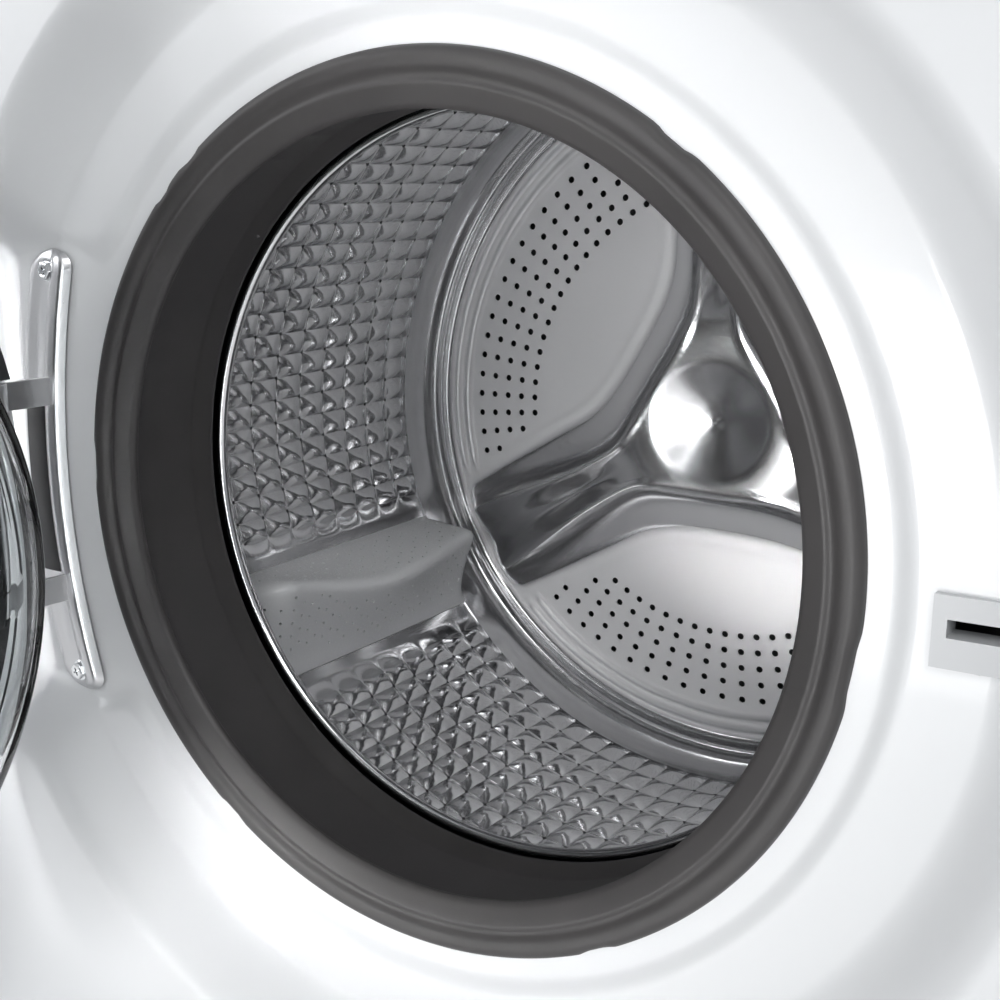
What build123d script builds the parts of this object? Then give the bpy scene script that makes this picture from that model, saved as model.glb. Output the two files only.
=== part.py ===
"""Front load washing machine with its door open.

Millimetres. X is to the right seen from the front, Y runs to the back, Z is up.
The origin is on the floor under the middle of the cabinet.
The drum, the tub and the door opening share one horizontal axis, parallel to Y at AXIS_Z.
"""
from build123d import *
from math import acos, atan2, cos, pi, radians, sin, sqrt
import os

os.makedirs("parts", exist_ok=True)

# ------------------------------------------------------------------ driving dimensions
CABINET_W = 595
CABINET_D = 580
CABINET_H = 850
FRONT_Y = -CABINET_D / 2
REAR_Y = CABINET_D / 2
SIDE_X = CABINET_W / 2
SHEET = 1.2                  # sheet steel of the cabinet
BASE_Z = 20                  # underside of the base frame
PLINTH_TOP = 98
PANEL_TOP = 715              # top of the front panel, under the control panel
FASCIA_TOP = 827
AXIS_Z = 425                 # height of the drum axis

DISH_R = 280                 # round recess in the front panel
DISH_FLOOR_Y = FRONT_Y + 36  # the floor of the recess, where the gasket sits
DISH_WALL_R = 245            # where the floor of the recess turns up into its wall
GASKET_R = 200
LIP_R = 175.5                # the gasket's inner edge, and so the clear door opening

MOUTH_R = 180.7              # drum mouth
MOUTH_Y = DISH_FLOOR_Y + 77
DRUM_R = 243
DRUM_REAR_Y = DISH_FLOOR_Y + 335
SEAM_R = 230
BACK_Y = DISH_FLOOR_Y + 370  # perforated face of the drum back
DRUM_SHEET = 0.8
LIFTER_H = 46
LIFTER_HALF_DEG = 8
ARM_ANGLES = (90, 210, 330)  # lifters and spider arms

TUB_R = 262                  # inside
TUB_WALL = 4
TUB_JOINT_Y = -24
TUB_FRONT_Y = DISH_FLOOR_Y + 66
TUB_REAR_Y = 160
NECK_R = 192
SHAFT_R = 15
BEARING_R = 31
RUN_GAP = 0.05               # radial clearance of a running fit

PULLEY_R = 150
MOTOR_PULLEY_R = 12
PULLEY_Y = 214
PULLEY_W = 14
MOTOR_X = -60
MOTOR_Z = 97
MOTOR_R = 50

HINGE_X = -230
HINGE_Y = FRONT_Y - 4
HINGE_SCREW_X = -224
HINGE_SCREW_Z = 110
HOOK_X = 244                 # door hook, lock and slot share this place
STRAP_Z = (47, -61.5)        # the two hinge arms, from the axis height
STRAP_H = 15
PIN_R = 3
DOOR_OPEN_DEG = 86           # the door's angle as the part is stored
DOOR_R = 258
BOWL_R = 168

DRAWER_X = (-284, -128)
DRAWER_Z = (722, 820)
KNOB_X = -40
BUTTON_X = 232
CONTROL_Z = 771
DISPLAY_X = (40, 180)
FILTER_X = 205
FILTER_Z = 60
FOOT_X = 255
FOOT_Y = 240
FOOT_STUD_R = 5

SPRING_X = 243
SPRING_YS = (12, 120)
RAIL_Z = 800
DAMPER_X = 130
DAMPER_Y = 20

# ------------------------------------------------------------------ planes and helpers
DRUM_AXIS = Axis((0, 0, AXIS_Z), (0, 1, 0))
MERIDIAN = Plane(origin=(0, 0, AXIS_Z), x_dir=(1, 0, 0), z_dir=(0, 0, 1))
HINGE_AXIS = Axis((HINGE_X, HINGE_Y, 0), (0, 0, 1))


def across(y):
    """A plane square to the drum axis at depth y, its normal towards the back, its y down."""
    return Plane(origin=(0, y, AXIS_Z), x_dir=(1, 0, 0), z_dir=(0, 1, 0))


def upright(x, y, z):
    """A plane square to Y at a point, its normal towards the back, its y down."""
    return Plane(origin=(x, y, z), x_dir=(1, 0, 0), z_dir=(0, 1, 0))


def level(z, x=0, y=0):
    """A horizontal plane at height z."""
    return Plane(origin=(x, y, z), x_dir=(1, 0, 0), z_dir=(0, 0, 1))


def keep(piece, name):
    """Label a finished piece and write it to its own file."""
    piece.label = name
    export_step(piece, f"parts/{name}.step")


def ring_of(points):
    """A solid turned about the drum axis from (radius, y) points."""
    with BuildPart() as turned:
        with BuildSketch(MERIDIAN):
            with BuildLine():
                Polyline(*points, close=True)
            make_face()
        revolve(axis=DRUM_AXIS)
    return turned.part


def tube(y0, y1, r_out, r_in):
    """A tube about the drum axis from y0 to y1."""
    with BuildPart() as made:
        with BuildSketch(across(y0)):
            Circle(r_out)
            if r_in:
                Circle(r_in, mode=Mode.SUBTRACT)
        extrude(amount=y1 - y0)
    return made.part


def hose(points, radii, bore, radius):
    """A hose along straight runs joined by arcs, checked against section times length."""
    with BuildPart() as made:
        with BuildLine():
            route = FilletPolyline(*points, radius=radii)
        with BuildSketch(Plane(origin=route @ 0, z_dir=route % 0)):
            Circle(radius)
            Circle(bore, mode=Mode.SUBTRACT)
        sweep(path=route)
    section = pi * (radius**2 - bore**2)
    print("hose volume over section x length:", round(made.part.volume / section / route.length, 3))
    return made.part


# ------------------------------------------------------------------ cabinet
def dish_surface(offset):
    """(radius, y) points of the recess's front surface, moved back by offset."""
    return [
        (DISH_R, FRONT_Y + offset),
        (DISH_R - 6, FRONT_Y + 3 + offset),
        (DISH_WALL_R + 6, DISH_FLOOR_Y - 10 + offset),
        (DISH_WALL_R, DISH_FLOOR_Y - 6 + offset),
        (216, DISH_FLOOR_Y - 4 + offset),
        (208, DISH_FLOOR_Y + offset),
    ]


POCKET_X = (-276, -196)      # flat-floored pocket that the hinge plate sits in
POCKET_HALF_Z = 128
FRONT_FLANGE = 15

with BuildPart() as front_panel:
    with BuildSketch(upright(0, FRONT_Y, (PLINTH_TOP + 2 + PANEL_TOP) / 2)):
        Rectangle(CABINET_W, PANEL_TOP - PLINTH_TOP - 2)
    extrude(amount=FRONT_FLANGE)
    with BuildSketch(upright(0, FRONT_Y + SHEET, (PLINTH_TOP + 2 + PANEL_TOP) / 2)):
        Rectangle(CABINET_W - 2 * SHEET, PANEL_TOP - PLINTH_TOP - 2 - 2 * SHEET)
    extrude(amount=FRONT_FLANGE, mode=Mode.SUBTRACT)
    with BuildSketch(across(FRONT_Y - 1)):
        Circle(DISH_R)
    extrude(amount=FRONT_FLANGE + 5, mode=Mode.SUBTRACT)
    with BuildSketch(MERIDIAN):
        with BuildLine():
            Polyline(
                *dish_surface(0),
                (194, DISH_FLOOR_Y),
                (194, DISH_FLOOR_Y + SHEET),
                *reversed(dish_surface(SHEET)),
                close=True,
            )
        make_face()
    revolve(axis=DRUM_AXIS)
    with BuildSketch(upright((POCKET_X[0] + POCKET_X[1]) / 2, FRONT_Y + SHEET, AXIS_Z)):
        Rectangle(POCKET_X[1] - POCKET_X[0], 2 * POCKET_HALF_Z)
    extrude(amount=DISH_FLOOR_Y - FRONT_Y - SHEET, mode=Mode.SUBTRACT)

behind_dish = ring_of([
    *dish_surface(0),
    (194, DISH_FLOOR_Y),
    (194, 0),
    (DISH_R + 8, 0),
    (DISH_R + 8, FRONT_Y),
])

with BuildPart() as pocket:
    with BuildSketch(upright((POCKET_X[0] + POCKET_X[1]) / 2, FRONT_Y, AXIS_Z)):
        Rectangle(POCKET_X[1] - POCKET_X[0] + 2 * SHEET, 2 * POCKET_HALF_Z + 2 * SHEET)
    extrude(amount=DISH_FLOOR_Y - FRONT_Y + SHEET)
    with BuildSketch(upright((POCKET_X[0] + POCKET_X[1]) / 2, FRONT_Y, AXIS_Z)):
        Rectangle(POCKET_X[1] - POCKET_X[0], 2 * POCKET_HALF_Z)
    extrude(amount=DISH_FLOOR_Y - FRONT_Y, mode=Mode.SUBTRACT)
    with BuildSketch(across(DISH_FLOOR_Y - 2)):
        Circle(GASKET_R + 2)
    extrude(amount=10, mode=Mode.SUBTRACT)
    add(behind_dish, mode=Mode.INTERSECT)

LOCK_X = (224, 264)          # opening for the lock's bezel
LOCK_Z = (-18, 8)
LOCK_FLOOR_Y = DISH_FLOOR_Y - 4
with BuildPart() as lock_hole:
    with BuildSketch(upright(sum(LOCK_X) / 2, FRONT_Y - 1, AXIS_Z + sum(LOCK_Z) / 2)):
        Rectangle(LOCK_X[1] - LOCK_X[0], LOCK_Z[1] - LOCK_Z[0])
    extrude(amount=60)

with BuildPart() as hinge_screw_holes:
    for side in (-1, 1):
        with BuildSketch(upright(HINGE_SCREW_X, DISH_FLOOR_Y - 5, AXIS_Z + side * HINGE_SCREW_Z)):
            Circle(3.1)
        extrude(amount=12)

with BuildPart() as front_sheet:
    add(front_panel.part)
    add(pocket.part)
    add(lock_hole.part, mode=Mode.SUBTRACT)
    add(hinge_screw_holes.part, mode=Mode.SUBTRACT)
keep(front_sheet.part, "front_panel")

SIDE_FRONT_Y = FRONT_Y + FRONT_FLANGE
SIDE_REAR_Y = REAR_Y - SHEET
SIDE_BOTTOM = BASE_Z + 3
for name, side in (("left_side_panel", -1), ("right_side_panel", 1)):
    with BuildPart() as side_panel:
        with BuildSketch(level(SIDE_BOTTOM, side * SIDE_X, (SIDE_FRONT_Y + SIDE_REAR_Y) / 2)):
            with Locations((-side * SHEET / 2, 0)):
                Rectangle(SHEET, SIDE_REAR_Y - SIDE_FRONT_Y)
            for end in (-1, 1):
                with Locations((-side * 8, end * (SIDE_REAR_Y - SIDE_FRONT_Y - SHEET) / 2)):
                    Rectangle(16, SHEET)
        extrude(amount=FASCIA_TOP - SIDE_BOTTOM)
        with BuildSketch(level(FASCIA_TOP - SHEET, side * SIDE_X, (SIDE_FRONT_Y + SIDE_REAR_Y) / 2)):
            with Locations((-side * 10, 0)):
                Rectangle(20, SIDE_REAR_Y - SIDE_FRONT_Y)
        extrude(amount=SHEET)
    keep(side_panel.part, name)

TRANSIT_X = 160
TRANSIT_Z = 130
DRAIN_OUT_X = -215
DRAIN_OUT_Z = 745
INLET_X = 205
INLET_Z = 775
MAINS_X = 60
MAINS_Z = 775
REAR_BULGE_R = 200

with BuildPart() as rear_panel:
    with BuildSketch(upright(0, REAR_Y - SHEET, (SIDE_BOTTOM + FASCIA_TOP) / 2)):
        Rectangle(CABINET_W, FASCIA_TOP - SIDE_BOTTOM)
        with Locations((0, (SIDE_BOTTOM + FASCIA_TOP) / 2 - AXIS_Z)):
            Circle(REAR_BULGE_R, mode=Mode.SUBTRACT)
    extrude(amount=SHEET)
    with BuildSketch(MERIDIAN):
        with BuildLine():
            Polyline(
                (REAR_BULGE_R + 0.5, REAR_Y - SHEET),
                (REAR_BULGE_R - 12, REAR_Y - SHEET + 7),
                (0, REAR_Y - SHEET + 7),
                (0, REAR_Y + 7),
                (REAR_BULGE_R - 12, REAR_Y + 7),
                (REAR_BULGE_R + 0.5, REAR_Y),
                close=True,
            )
        make_face()
    revolve(axis=DRUM_AXIS)
    for x in (-TRANSIT_X, TRANSIT_X):
        for z in (-TRANSIT_Z, TRANSIT_Z):
            with BuildSketch(upright(x, REAR_Y - 20, AXIS_Z + z)):
                Circle(9)
            extrude(amount=40, mode=Mode.SUBTRACT)
    for x, z, r in ((DRAIN_OUT_X, DRAIN_OUT_Z, 12.5), (INLET_X, INLET_Z, 15.5), (MAINS_X, MAINS_Z, 9)):
        with BuildSketch(upright(x, REAR_Y - 20, z)):
            Circle(r)
        extrude(amount=40, mode=Mode.SUBTRACT)
keep(rear_panel.part, "rear_panel")

with BuildPart() as top_panel:
    with BuildSketch(level(FASCIA_TOP)):
        RectangleRounded(CABINET_W, CABINET_D, 10)
    extrude(amount=CABINET_H - FASCIA_TOP)
    fillet(top_panel.faces().sort_by(Axis.Z)[-1].edges(), 4)
keep(top_panel.part, "top_panel")

with BuildPart() as base_frame:
    with BuildSketch(level(BASE_Z)):
        Rectangle(CABINET_W - 3, CABINET_D - 36)
    extrude(amount=3)
    with BuildSketch(level(BASE_Z + 3)):
        with GridLocations(2 * FOOT_X, 2 * FOOT_Y, 2, 2):
            Circle(14)
    extrude(amount=14)
    with GridLocations(2 * FOOT_X, 2 * FOOT_Y, 2, 2):
        Hole(FOOT_STUD_R + RUN_GAP)
keep(base_frame.part, "base_frame")

with BuildPart() as side_rails:
    for side in (-1, 1):
        with BuildSketch(level(RAIL_Z, side * 262, 6)):
            Rectangle(50, SIDE_REAR_Y - SIDE_FRONT_Y - 40)
            with Locations(*[(side * (SPRING_X - 262), y - 6) for y in SPRING_YS]):
                Circle(4, mode=Mode.SUBTRACT)
        extrude(amount=3)
        with BuildSketch(level(RAIL_Z + 3, side * 285.5, 6)):
            Rectangle(3, SIDE_REAR_Y - SIDE_FRONT_Y - 40)
        extrude(amount=20)
keep(side_rails.part, "side_rails")

# ------------------------------------------------------------------ control panel and plinth
FASCIA_FRONT_Y = FRONT_Y - 2
FASCIA_WALL = 2.5
FASCIA_BOTTOM = PANEL_TOP + 1
FASCIA_MID_Z = (FASCIA_BOTTOM + FASCIA_TOP) / 2

with BuildPart() as control_panel:
    with BuildSketch(upright(0, FASCIA_FRONT_Y, FASCIA_MID_Z)):
        Rectangle(CABINET_W, FASCIA_TOP - FASCIA_BOTTOM)
    extrude(amount=SIDE_FRONT_Y - FASCIA_FRONT_Y)
    fillet(control_panel.faces().sort_by(Axis.Y)[0].edges(), 1.5)
    with BuildSketch(upright(0, FASCIA_FRONT_Y + FASCIA_WALL, FASCIA_MID_Z)):
        Rectangle(CABINET_W - 2 * FASCIA_WALL, FASCIA_TOP - FASCIA_BOTTOM - 2 * FASCIA_WALL)
    extrude(amount=SIDE_FRONT_Y - FASCIA_FRONT_Y, mode=Mode.SUBTRACT)
    with BuildSketch(upright(0, FASCIA_FRONT_Y - 1, CONTROL_Z)):
        with Locations((sum(DRAWER_X) / 2, 0)):
            Rectangle(DRAWER_X[1] - DRAWER_X[0] + 1.6, DRAWER_Z[1] - DRAWER_Z[0] + 1.6)
        with Locations((sum(DISPLAY_X) / 2, 0)):
            Rectangle(DISPLAY_X[1] - DISPLAY_X[0], 46)
        with Locations((KNOB_X, 0)):
            Circle(5)
        with Locations((BUTTON_X, 0)):
            Circle(14.5)
    extrude(amount=10, mode=Mode.SUBTRACT)
keep(control_panel.part, "control_panel")

with BuildPart() as display_window:
    with BuildSketch(upright(sum(DISPLAY_X) / 2, FASCIA_FRONT_Y, CONTROL_Z)):
        Rectangle(DISPLAY_X[1] - DISPLAY_X[0] - 0.4, 45.6)
    extrude(amount=FASCIA_WALL)
keep(display_window.part, "display_window")

BOARD_FRONT_Y = FASCIA_FRONT_Y + 12
with BuildPart() as control_board:
    with BuildSketch(upright(90, BOARD_FRONT_Y, CONTROL_Z)):
        Rectangle(330, 72)
        with Locations((KNOB_X - 90, 0)):
            Circle(4, mode=Mode.SUBTRACT)
        with Locations((BUTTON_X - 90, 0)):
            Circle(3, mode=Mode.SUBTRACT)
    extrude(amount=1.6)
    with BuildSketch(upright(sum(DISPLAY_X) / 2, FASCIA_FRONT_Y + FASCIA_WALL, CONTROL_Z)):
        Rectangle(DISPLAY_X[1] - DISPLAY_X[0] - 20, 30)
    extrude(amount=12 - FASCIA_WALL)
    with BuildSketch(upright(90, BOARD_FRONT_Y + 1.6, CONTROL_Z)):
        with Locations((0, -20), (60, 18), (-70, -16)):
            Rectangle(30, 18)
    extrude(amount=14)
keep(control_board.part, "control_board")

with BuildPart() as plinth:
    with BuildSketch(upright(0, FRONT_Y + 4, (BASE_Z + PLINTH_TOP) / 2)):
        Rectangle(CABINET_W, PLINTH_TOP - BASE_Z)
    extrude(amount=FRONT_FLANGE - 4)
    with BuildSketch(upright(0, FRONT_Y + 7, (BASE_Z + PLINTH_TOP) / 2)):
        Rectangle(CABINET_W - 6, PLINTH_TOP - BASE_Z - 6)
    extrude(amount=FRONT_FLANGE, mode=Mode.SUBTRACT)
    with BuildSketch(upright(FILTER_X, FRONT_Y, FILTER_Z)):
        Rectangle(112, 70)
    extrude(amount=FRONT_FLANGE, mode=Mode.SUBTRACT)
keep(plinth.part, "plinth")

FLAP_W = 110
FLAP_HALF_H = 32.5
FLAP_AXIS_Y = FRONT_Y + 8
FLAP_AXIS_Z = FILTER_Z - FLAP_HALF_H + 3
with BuildPart() as filter_flap:
    with BuildSketch(upright(FILTER_X, FRONT_Y + 4, FILTER_Z)):
        RectangleRounded(FLAP_W, 2 * FLAP_HALF_H, 3)
    extrude(amount=3)
    with BuildSketch(Plane(origin=(FILTER_X - 40, FLAP_AXIS_Y, FLAP_AXIS_Z), z_dir=(1, 0, 0))):
        Circle(2.5)
    extrude(amount=80)
keep(filter_flap.part, "filter_flap")

# ------------------------------------------------------------------ feet
for name, x, y in (
    ("foot_front_left", -FOOT_X, -FOOT_Y),
    ("foot_front_right", FOOT_X, -FOOT_Y),
    ("foot_rear_left", -FOOT_X, FOOT_Y),
    ("foot_rear_right", FOOT_X, FOOT_Y),
):
    with BuildPart() as foot:
        with BuildSketch(level(0, x, y)):
            Circle(20)
        extrude(amount=8)
        with BuildSketch(level(8, x, y)):
            RegularPolygon(10, 6)
        extrude(amount=6)
        with BuildSketch(level(14, x, y)):
            Circle(FOOT_STUD_R)
        extrude(amount=26)
    keep(foot.part, name)

# ------------------------------------------------------------------ hinge on the cabinet
PLATE_T = 2.5
PLATE_FRONT_Y = DISH_FLOOR_Y - PLATE_T
EYE_R = 7.5

with BuildPart() as hinge_bracket:
    with BuildSketch(upright(0, PLATE_FRONT_Y, AXIS_Z)):
        with BuildLine():
            ThreePointArc((-204, 120), (-223, 0), (-204, -120))
            Line((-204, -120), (-236, -120))
            ThreePointArc((-236, -120), (-255, 0), (-236, 120))
            Line((-236, 120), (-204, 120))
        make_face()
        with Locations((HINGE_SCREW_X, HINGE_SCREW_Z), (HINGE_SCREW_X, -HINGE_SCREW_Z)):
            Circle(3.1, mode=Mode.SUBTRACT)
    extrude(amount=PLATE_T)
    for z in STRAP_Z:
        with BuildSketch(level(AXIS_Z + z - STRAP_H / 2)):
            with BuildLine():
                Polyline(
                    (-229, PLATE_FRONT_Y),
                    (-229, PLATE_FRONT_Y - 8),
                    (HINGE_X - 1.2, HINGE_Y + 12),
                    (HINGE_X - 1.2, HINGE_Y),
                    (HINGE_X + 1.2, HINGE_Y),
                    (HINGE_X + 1.2, HINGE_Y + 12),
                    (-226.6, PLATE_FRONT_Y - 8),
                    (-226.6, PLATE_FRONT_Y),
                    close=True,
                )
            make_face()
            with Locations((HINGE_X, HINGE_Y)):
                Circle(EYE_R)
        extrude(amount=STRAP_H)
    with BuildSketch(level(AXIS_Z + STRAP_Z[1] - STRAP_H / 2, HINGE_X, HINGE_Y)):
        Circle(PIN_R)
    extrude(amount=STRAP_Z[0] - STRAP_Z[1] + STRAP_H)
keep(hinge_bracket.part, "hinge_bracket")

with BuildPart() as hinge_screws:
    for side in (-1, 1):
        with BuildSketch(upright(HINGE_SCREW_X, PLATE_FRONT_Y - 4, AXIS_Z + side * HINGE_SCREW_Z)):
            Circle(6)
        extrude(amount=4)
        with BuildSketch(upright(HINGE_SCREW_X, PLATE_FRONT_Y, AXIS_Z + side * HINGE_SCREW_Z)):
            Circle(3)
        extrude(amount=14)
        with BuildSketch(upright(HINGE_SCREW_X, PLATE_FRONT_Y - 4, AXIS_Z + side * HINGE_SCREW_Z)):
            Rectangle(7, 1.4)
            Rectangle(1.4, 7)
        extrude(amount=2, mode=Mode.SUBTRACT)
keep(hinge_screws.part, "hinge_screws")

# ------------------------------------------------------------------ door lock
SLOT_X = (229, 256)
SLOT_Z = (-7, -0.5)
with BuildPart() as lock_bezel:
    with BuildSketch(level(AXIS_Z + LOCK_Z[0] + 0.2)):
        with BuildLine():
            Polyline(
                (LOCK_X[0] + 0.2, LOCK_FLOOR_Y - 4),
                (LOCK_X[0] + 26, LOCK_FLOOR_Y - 4),
                (LOCK_X[1] - 0.2, LOCK_FLOOR_Y - 16),
                (LOCK_X[1] - 0.2, LOCK_FLOOR_Y + 8),
                (LOCK_X[0] + 0.2, LOCK_FLOOR_Y + 8),
                close=True,
            )
        make_face()
    extrude(amount=LOCK_Z[1] - LOCK_Z[0] - 0.4)
    with BuildSketch(upright(sum(SLOT_X) / 2, LOCK_FLOOR_Y - 20, AXIS_Z + sum(SLOT_Z) / 2)):
        Rectangle(SLOT_X[1] - SLOT_X[0], SLOT_Z[1] - SLOT_Z[0])
    extrude(amount=40, mode=Mode.SUBTRACT)
keep(lock_bezel.part, "lock_bezel")

LOCK_FRONT_Y = LOCK_FLOOR_Y + 8
with BuildPart() as door_lock:
    with BuildSketch(upright(HOOK_X, LOCK_FRONT_Y, AXIS_Z - 10)):
        Rectangle(50, 86)
    extrude(amount=24)
    with BuildSketch(upright(sum(SLOT_X) / 2, LOCK_FRONT_Y - 1, AXIS_Z + sum(SLOT_Z) / 2)):
        Rectangle(SLOT_X[1] - SLOT_X[0], SLOT_Z[1] - SLOT_Z[0] + 1)
    extrude(amount=22, mode=Mode.SUBTRACT)
keep(door_lock.part, "door_lock")

# ------------------------------------------------------------------ gasket
with BuildPart() as gasket:
    with BuildSketch(MERIDIAN):
        with BuildLine():
            Polyline(
                (192.5, DISH_FLOOR_Y - 4),
                (199, DISH_FLOOR_Y - 3.5),
                (GASKET_R, DISH_FLOOR_Y - 0.3),
                (193.7, DISH_FLOOR_Y - 0.3),
                (193.7, DISH_FLOOR_Y + SHEET + 0.3),
                (GASKET_R, DISH_FLOOR_Y + SHEET + 0.3),
                (GASKET_R, DISH_FLOOR_Y + 7),
                (191.5, DISH_FLOOR_Y + 9),
                (191.5, DISH_FLOOR_Y + 30),
                (206, DISH_FLOOR_Y + 34),
                (206, DISH_FLOOR_Y + 60),
                (195.8, DISH_FLOOR_Y + 62),
                (195.8, DISH_FLOOR_Y + 50),
                (191.7, DISH_FLOOR_Y + 50),
                (191.7, DISH_FLOOR_Y + 64),
                (187, DISH_FLOOR_Y + 64),
                (187, DISH_FLOOR_Y + 45),
                (202, DISH_FLOOR_Y + 43),
                (202, DISH_FLOOR_Y + 38),
                (188, DISH_FLOOR_Y + 35),
                (188, DISH_FLOOR_Y + 10),
                (182, DISH_FLOOR_Y + 9),
                (LIP_R, DISH_FLOOR_Y + 6),
                (LIP_R, DISH_FLOOR_Y + 3),
                (186, DISH_FLOOR_Y + 1),
                close=True,
            )
        make_face()
    revolve(axis=DRUM_AXIS)
keep(gasket.part, "gasket")

# ------------------------------------------------------------------ tub
NECK_T = 3.5
NOZZLE_X = -160
NOZZLE_Y = -52
NOZZLE_R = 17
NOZZLE_TOP = 656
EAR_Z = 612


def spring_ears(y):
    """A pair of ears on the sides of the tub, with a hole in each for a spring's lower hook."""
    with BuildPart() as ears:
        with BuildSketch(level(EAR_Z)):
            for side in (-1, 1):
                with Locations((side * (SPRING_X - 28), y)):
                    Rectangle(84, 18)
                with Locations((side * SPRING_X, y)):
                    Circle(4, mode=Mode.SUBTRACT)
        extrude(amount=8)
        add(tube(y - 20, y + 20, TUB_R + 1, 0), mode=Mode.SUBTRACT)
    return ears.part


with BuildPart() as tub_front:
    with BuildSketch(MERIDIAN):
        with BuildLine():
            Polyline(
                (NECK_R, DISH_FLOOR_Y + 50.5),
                (NECK_R + NECK_T, DISH_FLOOR_Y + 50.5),
                (NECK_R + NECK_T, TUB_FRONT_Y),
                (TUB_R + TUB_WALL - 12, TUB_FRONT_Y),
                (TUB_R + TUB_WALL, TUB_FRONT_Y + 12),
                (TUB_R + TUB_WALL, TUB_JOINT_Y - 8),
                (TUB_R + 16, TUB_JOINT_Y - 8),
                (TUB_R + 16, TUB_JOINT_Y),
                (TUB_R, TUB_JOINT_Y),
                (TUB_R, TUB_FRONT_Y + 13.6),
                (TUB_R - 9.6, TUB_FRONT_Y + 4),
                (NECK_R, TUB_FRONT_Y + 4),
                close=True,
            )
        make_face()
    revolve(axis=DRUM_AXIS)
    # nozzle under the detergent dispenser
    with BuildSketch(level(AXIS_Z + 200, NOZZLE_X, NOZZLE_Y)):
        Circle(NOZZLE_R)
    extrude(amount=NOZZLE_TOP - AXIS_Z - 200)
    with BuildSketch(level(AXIS_Z + 190, NOZZLE_X, NOZZLE_Y)):
        Circle(NOZZLE_R - 3)
    extrude(amount=60, mode=Mode.SUBTRACT)
keep(tub_front.part, "tub_front")

HUB_R = 52
SUMP_X = 70
SUMP_Y = 40
SUMP_R = 20
SUMP_Z = 138
HEATER_Z = 174.5
HEATER_PLUG_W = 52
LUG_TOP_Z = 178
MOTOR_LUG_Z = 155

tub_bore = tube(TUB_JOINT_Y - 1, TUB_REAR_Y - TUB_WALL, TUB_R, 0)
with BuildPart() as tub_rear:
    with BuildSketch(across(TUB_JOINT_Y)):
        Circle(TUB_R + 16)
    extrude(amount=8)
    with BuildSketch(across(TUB_JOINT_Y)):
        Circle(TUB_R + TUB_WALL)
    extrude(amount=TUB_REAR_Y - TUB_JOINT_Y)
    with BuildSketch(across(TUB_REAR_Y)):
        Circle(HUB_R)
    extrude(amount=40)
    with BuildSketch(across(TUB_REAR_Y)):
        with PolarLocations((HUB_R + TUB_R) / 2 + 1, 9):
            Rectangle(TUB_R - HUB_R + 4, 5)
    extrude(amount=14)
    # sump outlet, motor lugs, damper lugs and spring ears
    with BuildSketch(level(SUMP_Z, SUMP_X, SUMP_Y)):
        Circle(SUMP_R)
    extrude(amount=60)
    with BuildSketch(level(MOTOR_LUG_Z)):
        with Locations((MOTOR_X - 30, 110), (MOTOR_X + 30, 110)):
            Rectangle(14, 70)
    extrude(amount=36)
    with BuildSketch(level(LUG_TOP_Z - 8)):
        with Locations((-DAMPER_X, DAMPER_Y), (DAMPER_X, DAMPER_Y)):
            Rectangle(24, 30)
    extrude(amount=40)
    for y in SPRING_YS:
        add(spring_ears(y))
    add(tub_bore, mode=Mode.SUBTRACT)
    with BuildSketch(across(TUB_REAR_Y - TUB_WALL - 1)):
        Circle(BEARING_R)
    extrude(amount=50, mode=Mode.SUBTRACT)
    with BuildSketch(level(SUMP_Z - 1, SUMP_X, SUMP_Y)):
        Circle(SUMP_R - 4)
    extrude(amount=50, mode=Mode.SUBTRACT)
    with BuildSketch(upright(0, TUB_REAR_Y - TUB_WALL - 1, HEATER_Z)):
        Rectangle(HEATER_PLUG_W, 18)
    extrude(amount=30, mode=Mode.SUBTRACT)
keep(tub_rear.part, "tub_rear")

WEIGHT_IN_R = 211
WEIGHT_OUT_R = 262
with BuildPart() as front_counterweight:
    with BuildSketch(across(TUB_FRONT_Y - 34)):
        Circle(WEIGHT_OUT_R - 6)
        Circle(WEIGHT_IN_R, mode=Mode.SUBTRACT)
    extrude(amount=34)
keep(front_counterweight.part, "front_counterweight")

TOP_WEIGHT_Z = 706
with BuildPart() as top_counterweight:
    with BuildSketch(level(AXIS_Z + 180, 30, 70)):
        Rectangle(190, 150)
    extrude(amount=TOP_WEIGHT_Z + 46 - AXIS_Z - 180)
    fillet(top_counterweight.edges().filter_by(Axis.Z), 12)
    add(tube(-200, 200, TUB_R + TUB_WALL, 0), mode=Mode.SUBTRACT)
keep(top_counterweight.part, "top_counterweight")

with BuildPart() as heater:
    with BuildSketch(upright(0, TUB_REAR_Y - TUB_WALL - 4, HEATER_Z)):
        Rectangle(HEATER_PLUG_W, 18)
    extrude(amount=18)
    for x in (-16, 16):
        with BuildSketch(upright(x, TUB_REAR_Y - TUB_WALL - 4, HEATER_Z)):
            Circle(3.5)
        extrude(amount=-150)
        with BuildSketch(upright(x, TUB_REAR_Y - TUB_WALL + 14, HEATER_Z)):
            Rectangle(6, 1)
        extrude(amount=10)
    with BuildSketch(upright(0, TUB_REAR_Y - TUB_WALL - 154, HEATER_Z)):
        with Locations((-16, 0)):
            Circle(3.5)
    revolve(axis=Axis((0, TUB_REAR_Y - TUB_WALL - 154, HEATER_Z), (0, 0, 1)), revolution_arc=180)
keep(heater.part, "heater")

with BuildPart() as drum_bearings:
    for y in (TUB_REAR_Y - TUB_WALL + 6, TUB_REAR_Y + 24):
        with BuildSketch(across(y)):
            Circle(BEARING_R)
            Circle(SHAFT_R + RUN_GAP, mode=Mode.SUBTRACT)
        extrude(amount=14)
        with BuildSketch(across(y)):
            Circle(BEARING_R - 5)
            Circle(SHAFT_R + 5, mode=Mode.SUBTRACT)
        extrude(amount=1, mode=Mode.SUBTRACT)
keep(drum_bearings.part, "drum_bearings")

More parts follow.
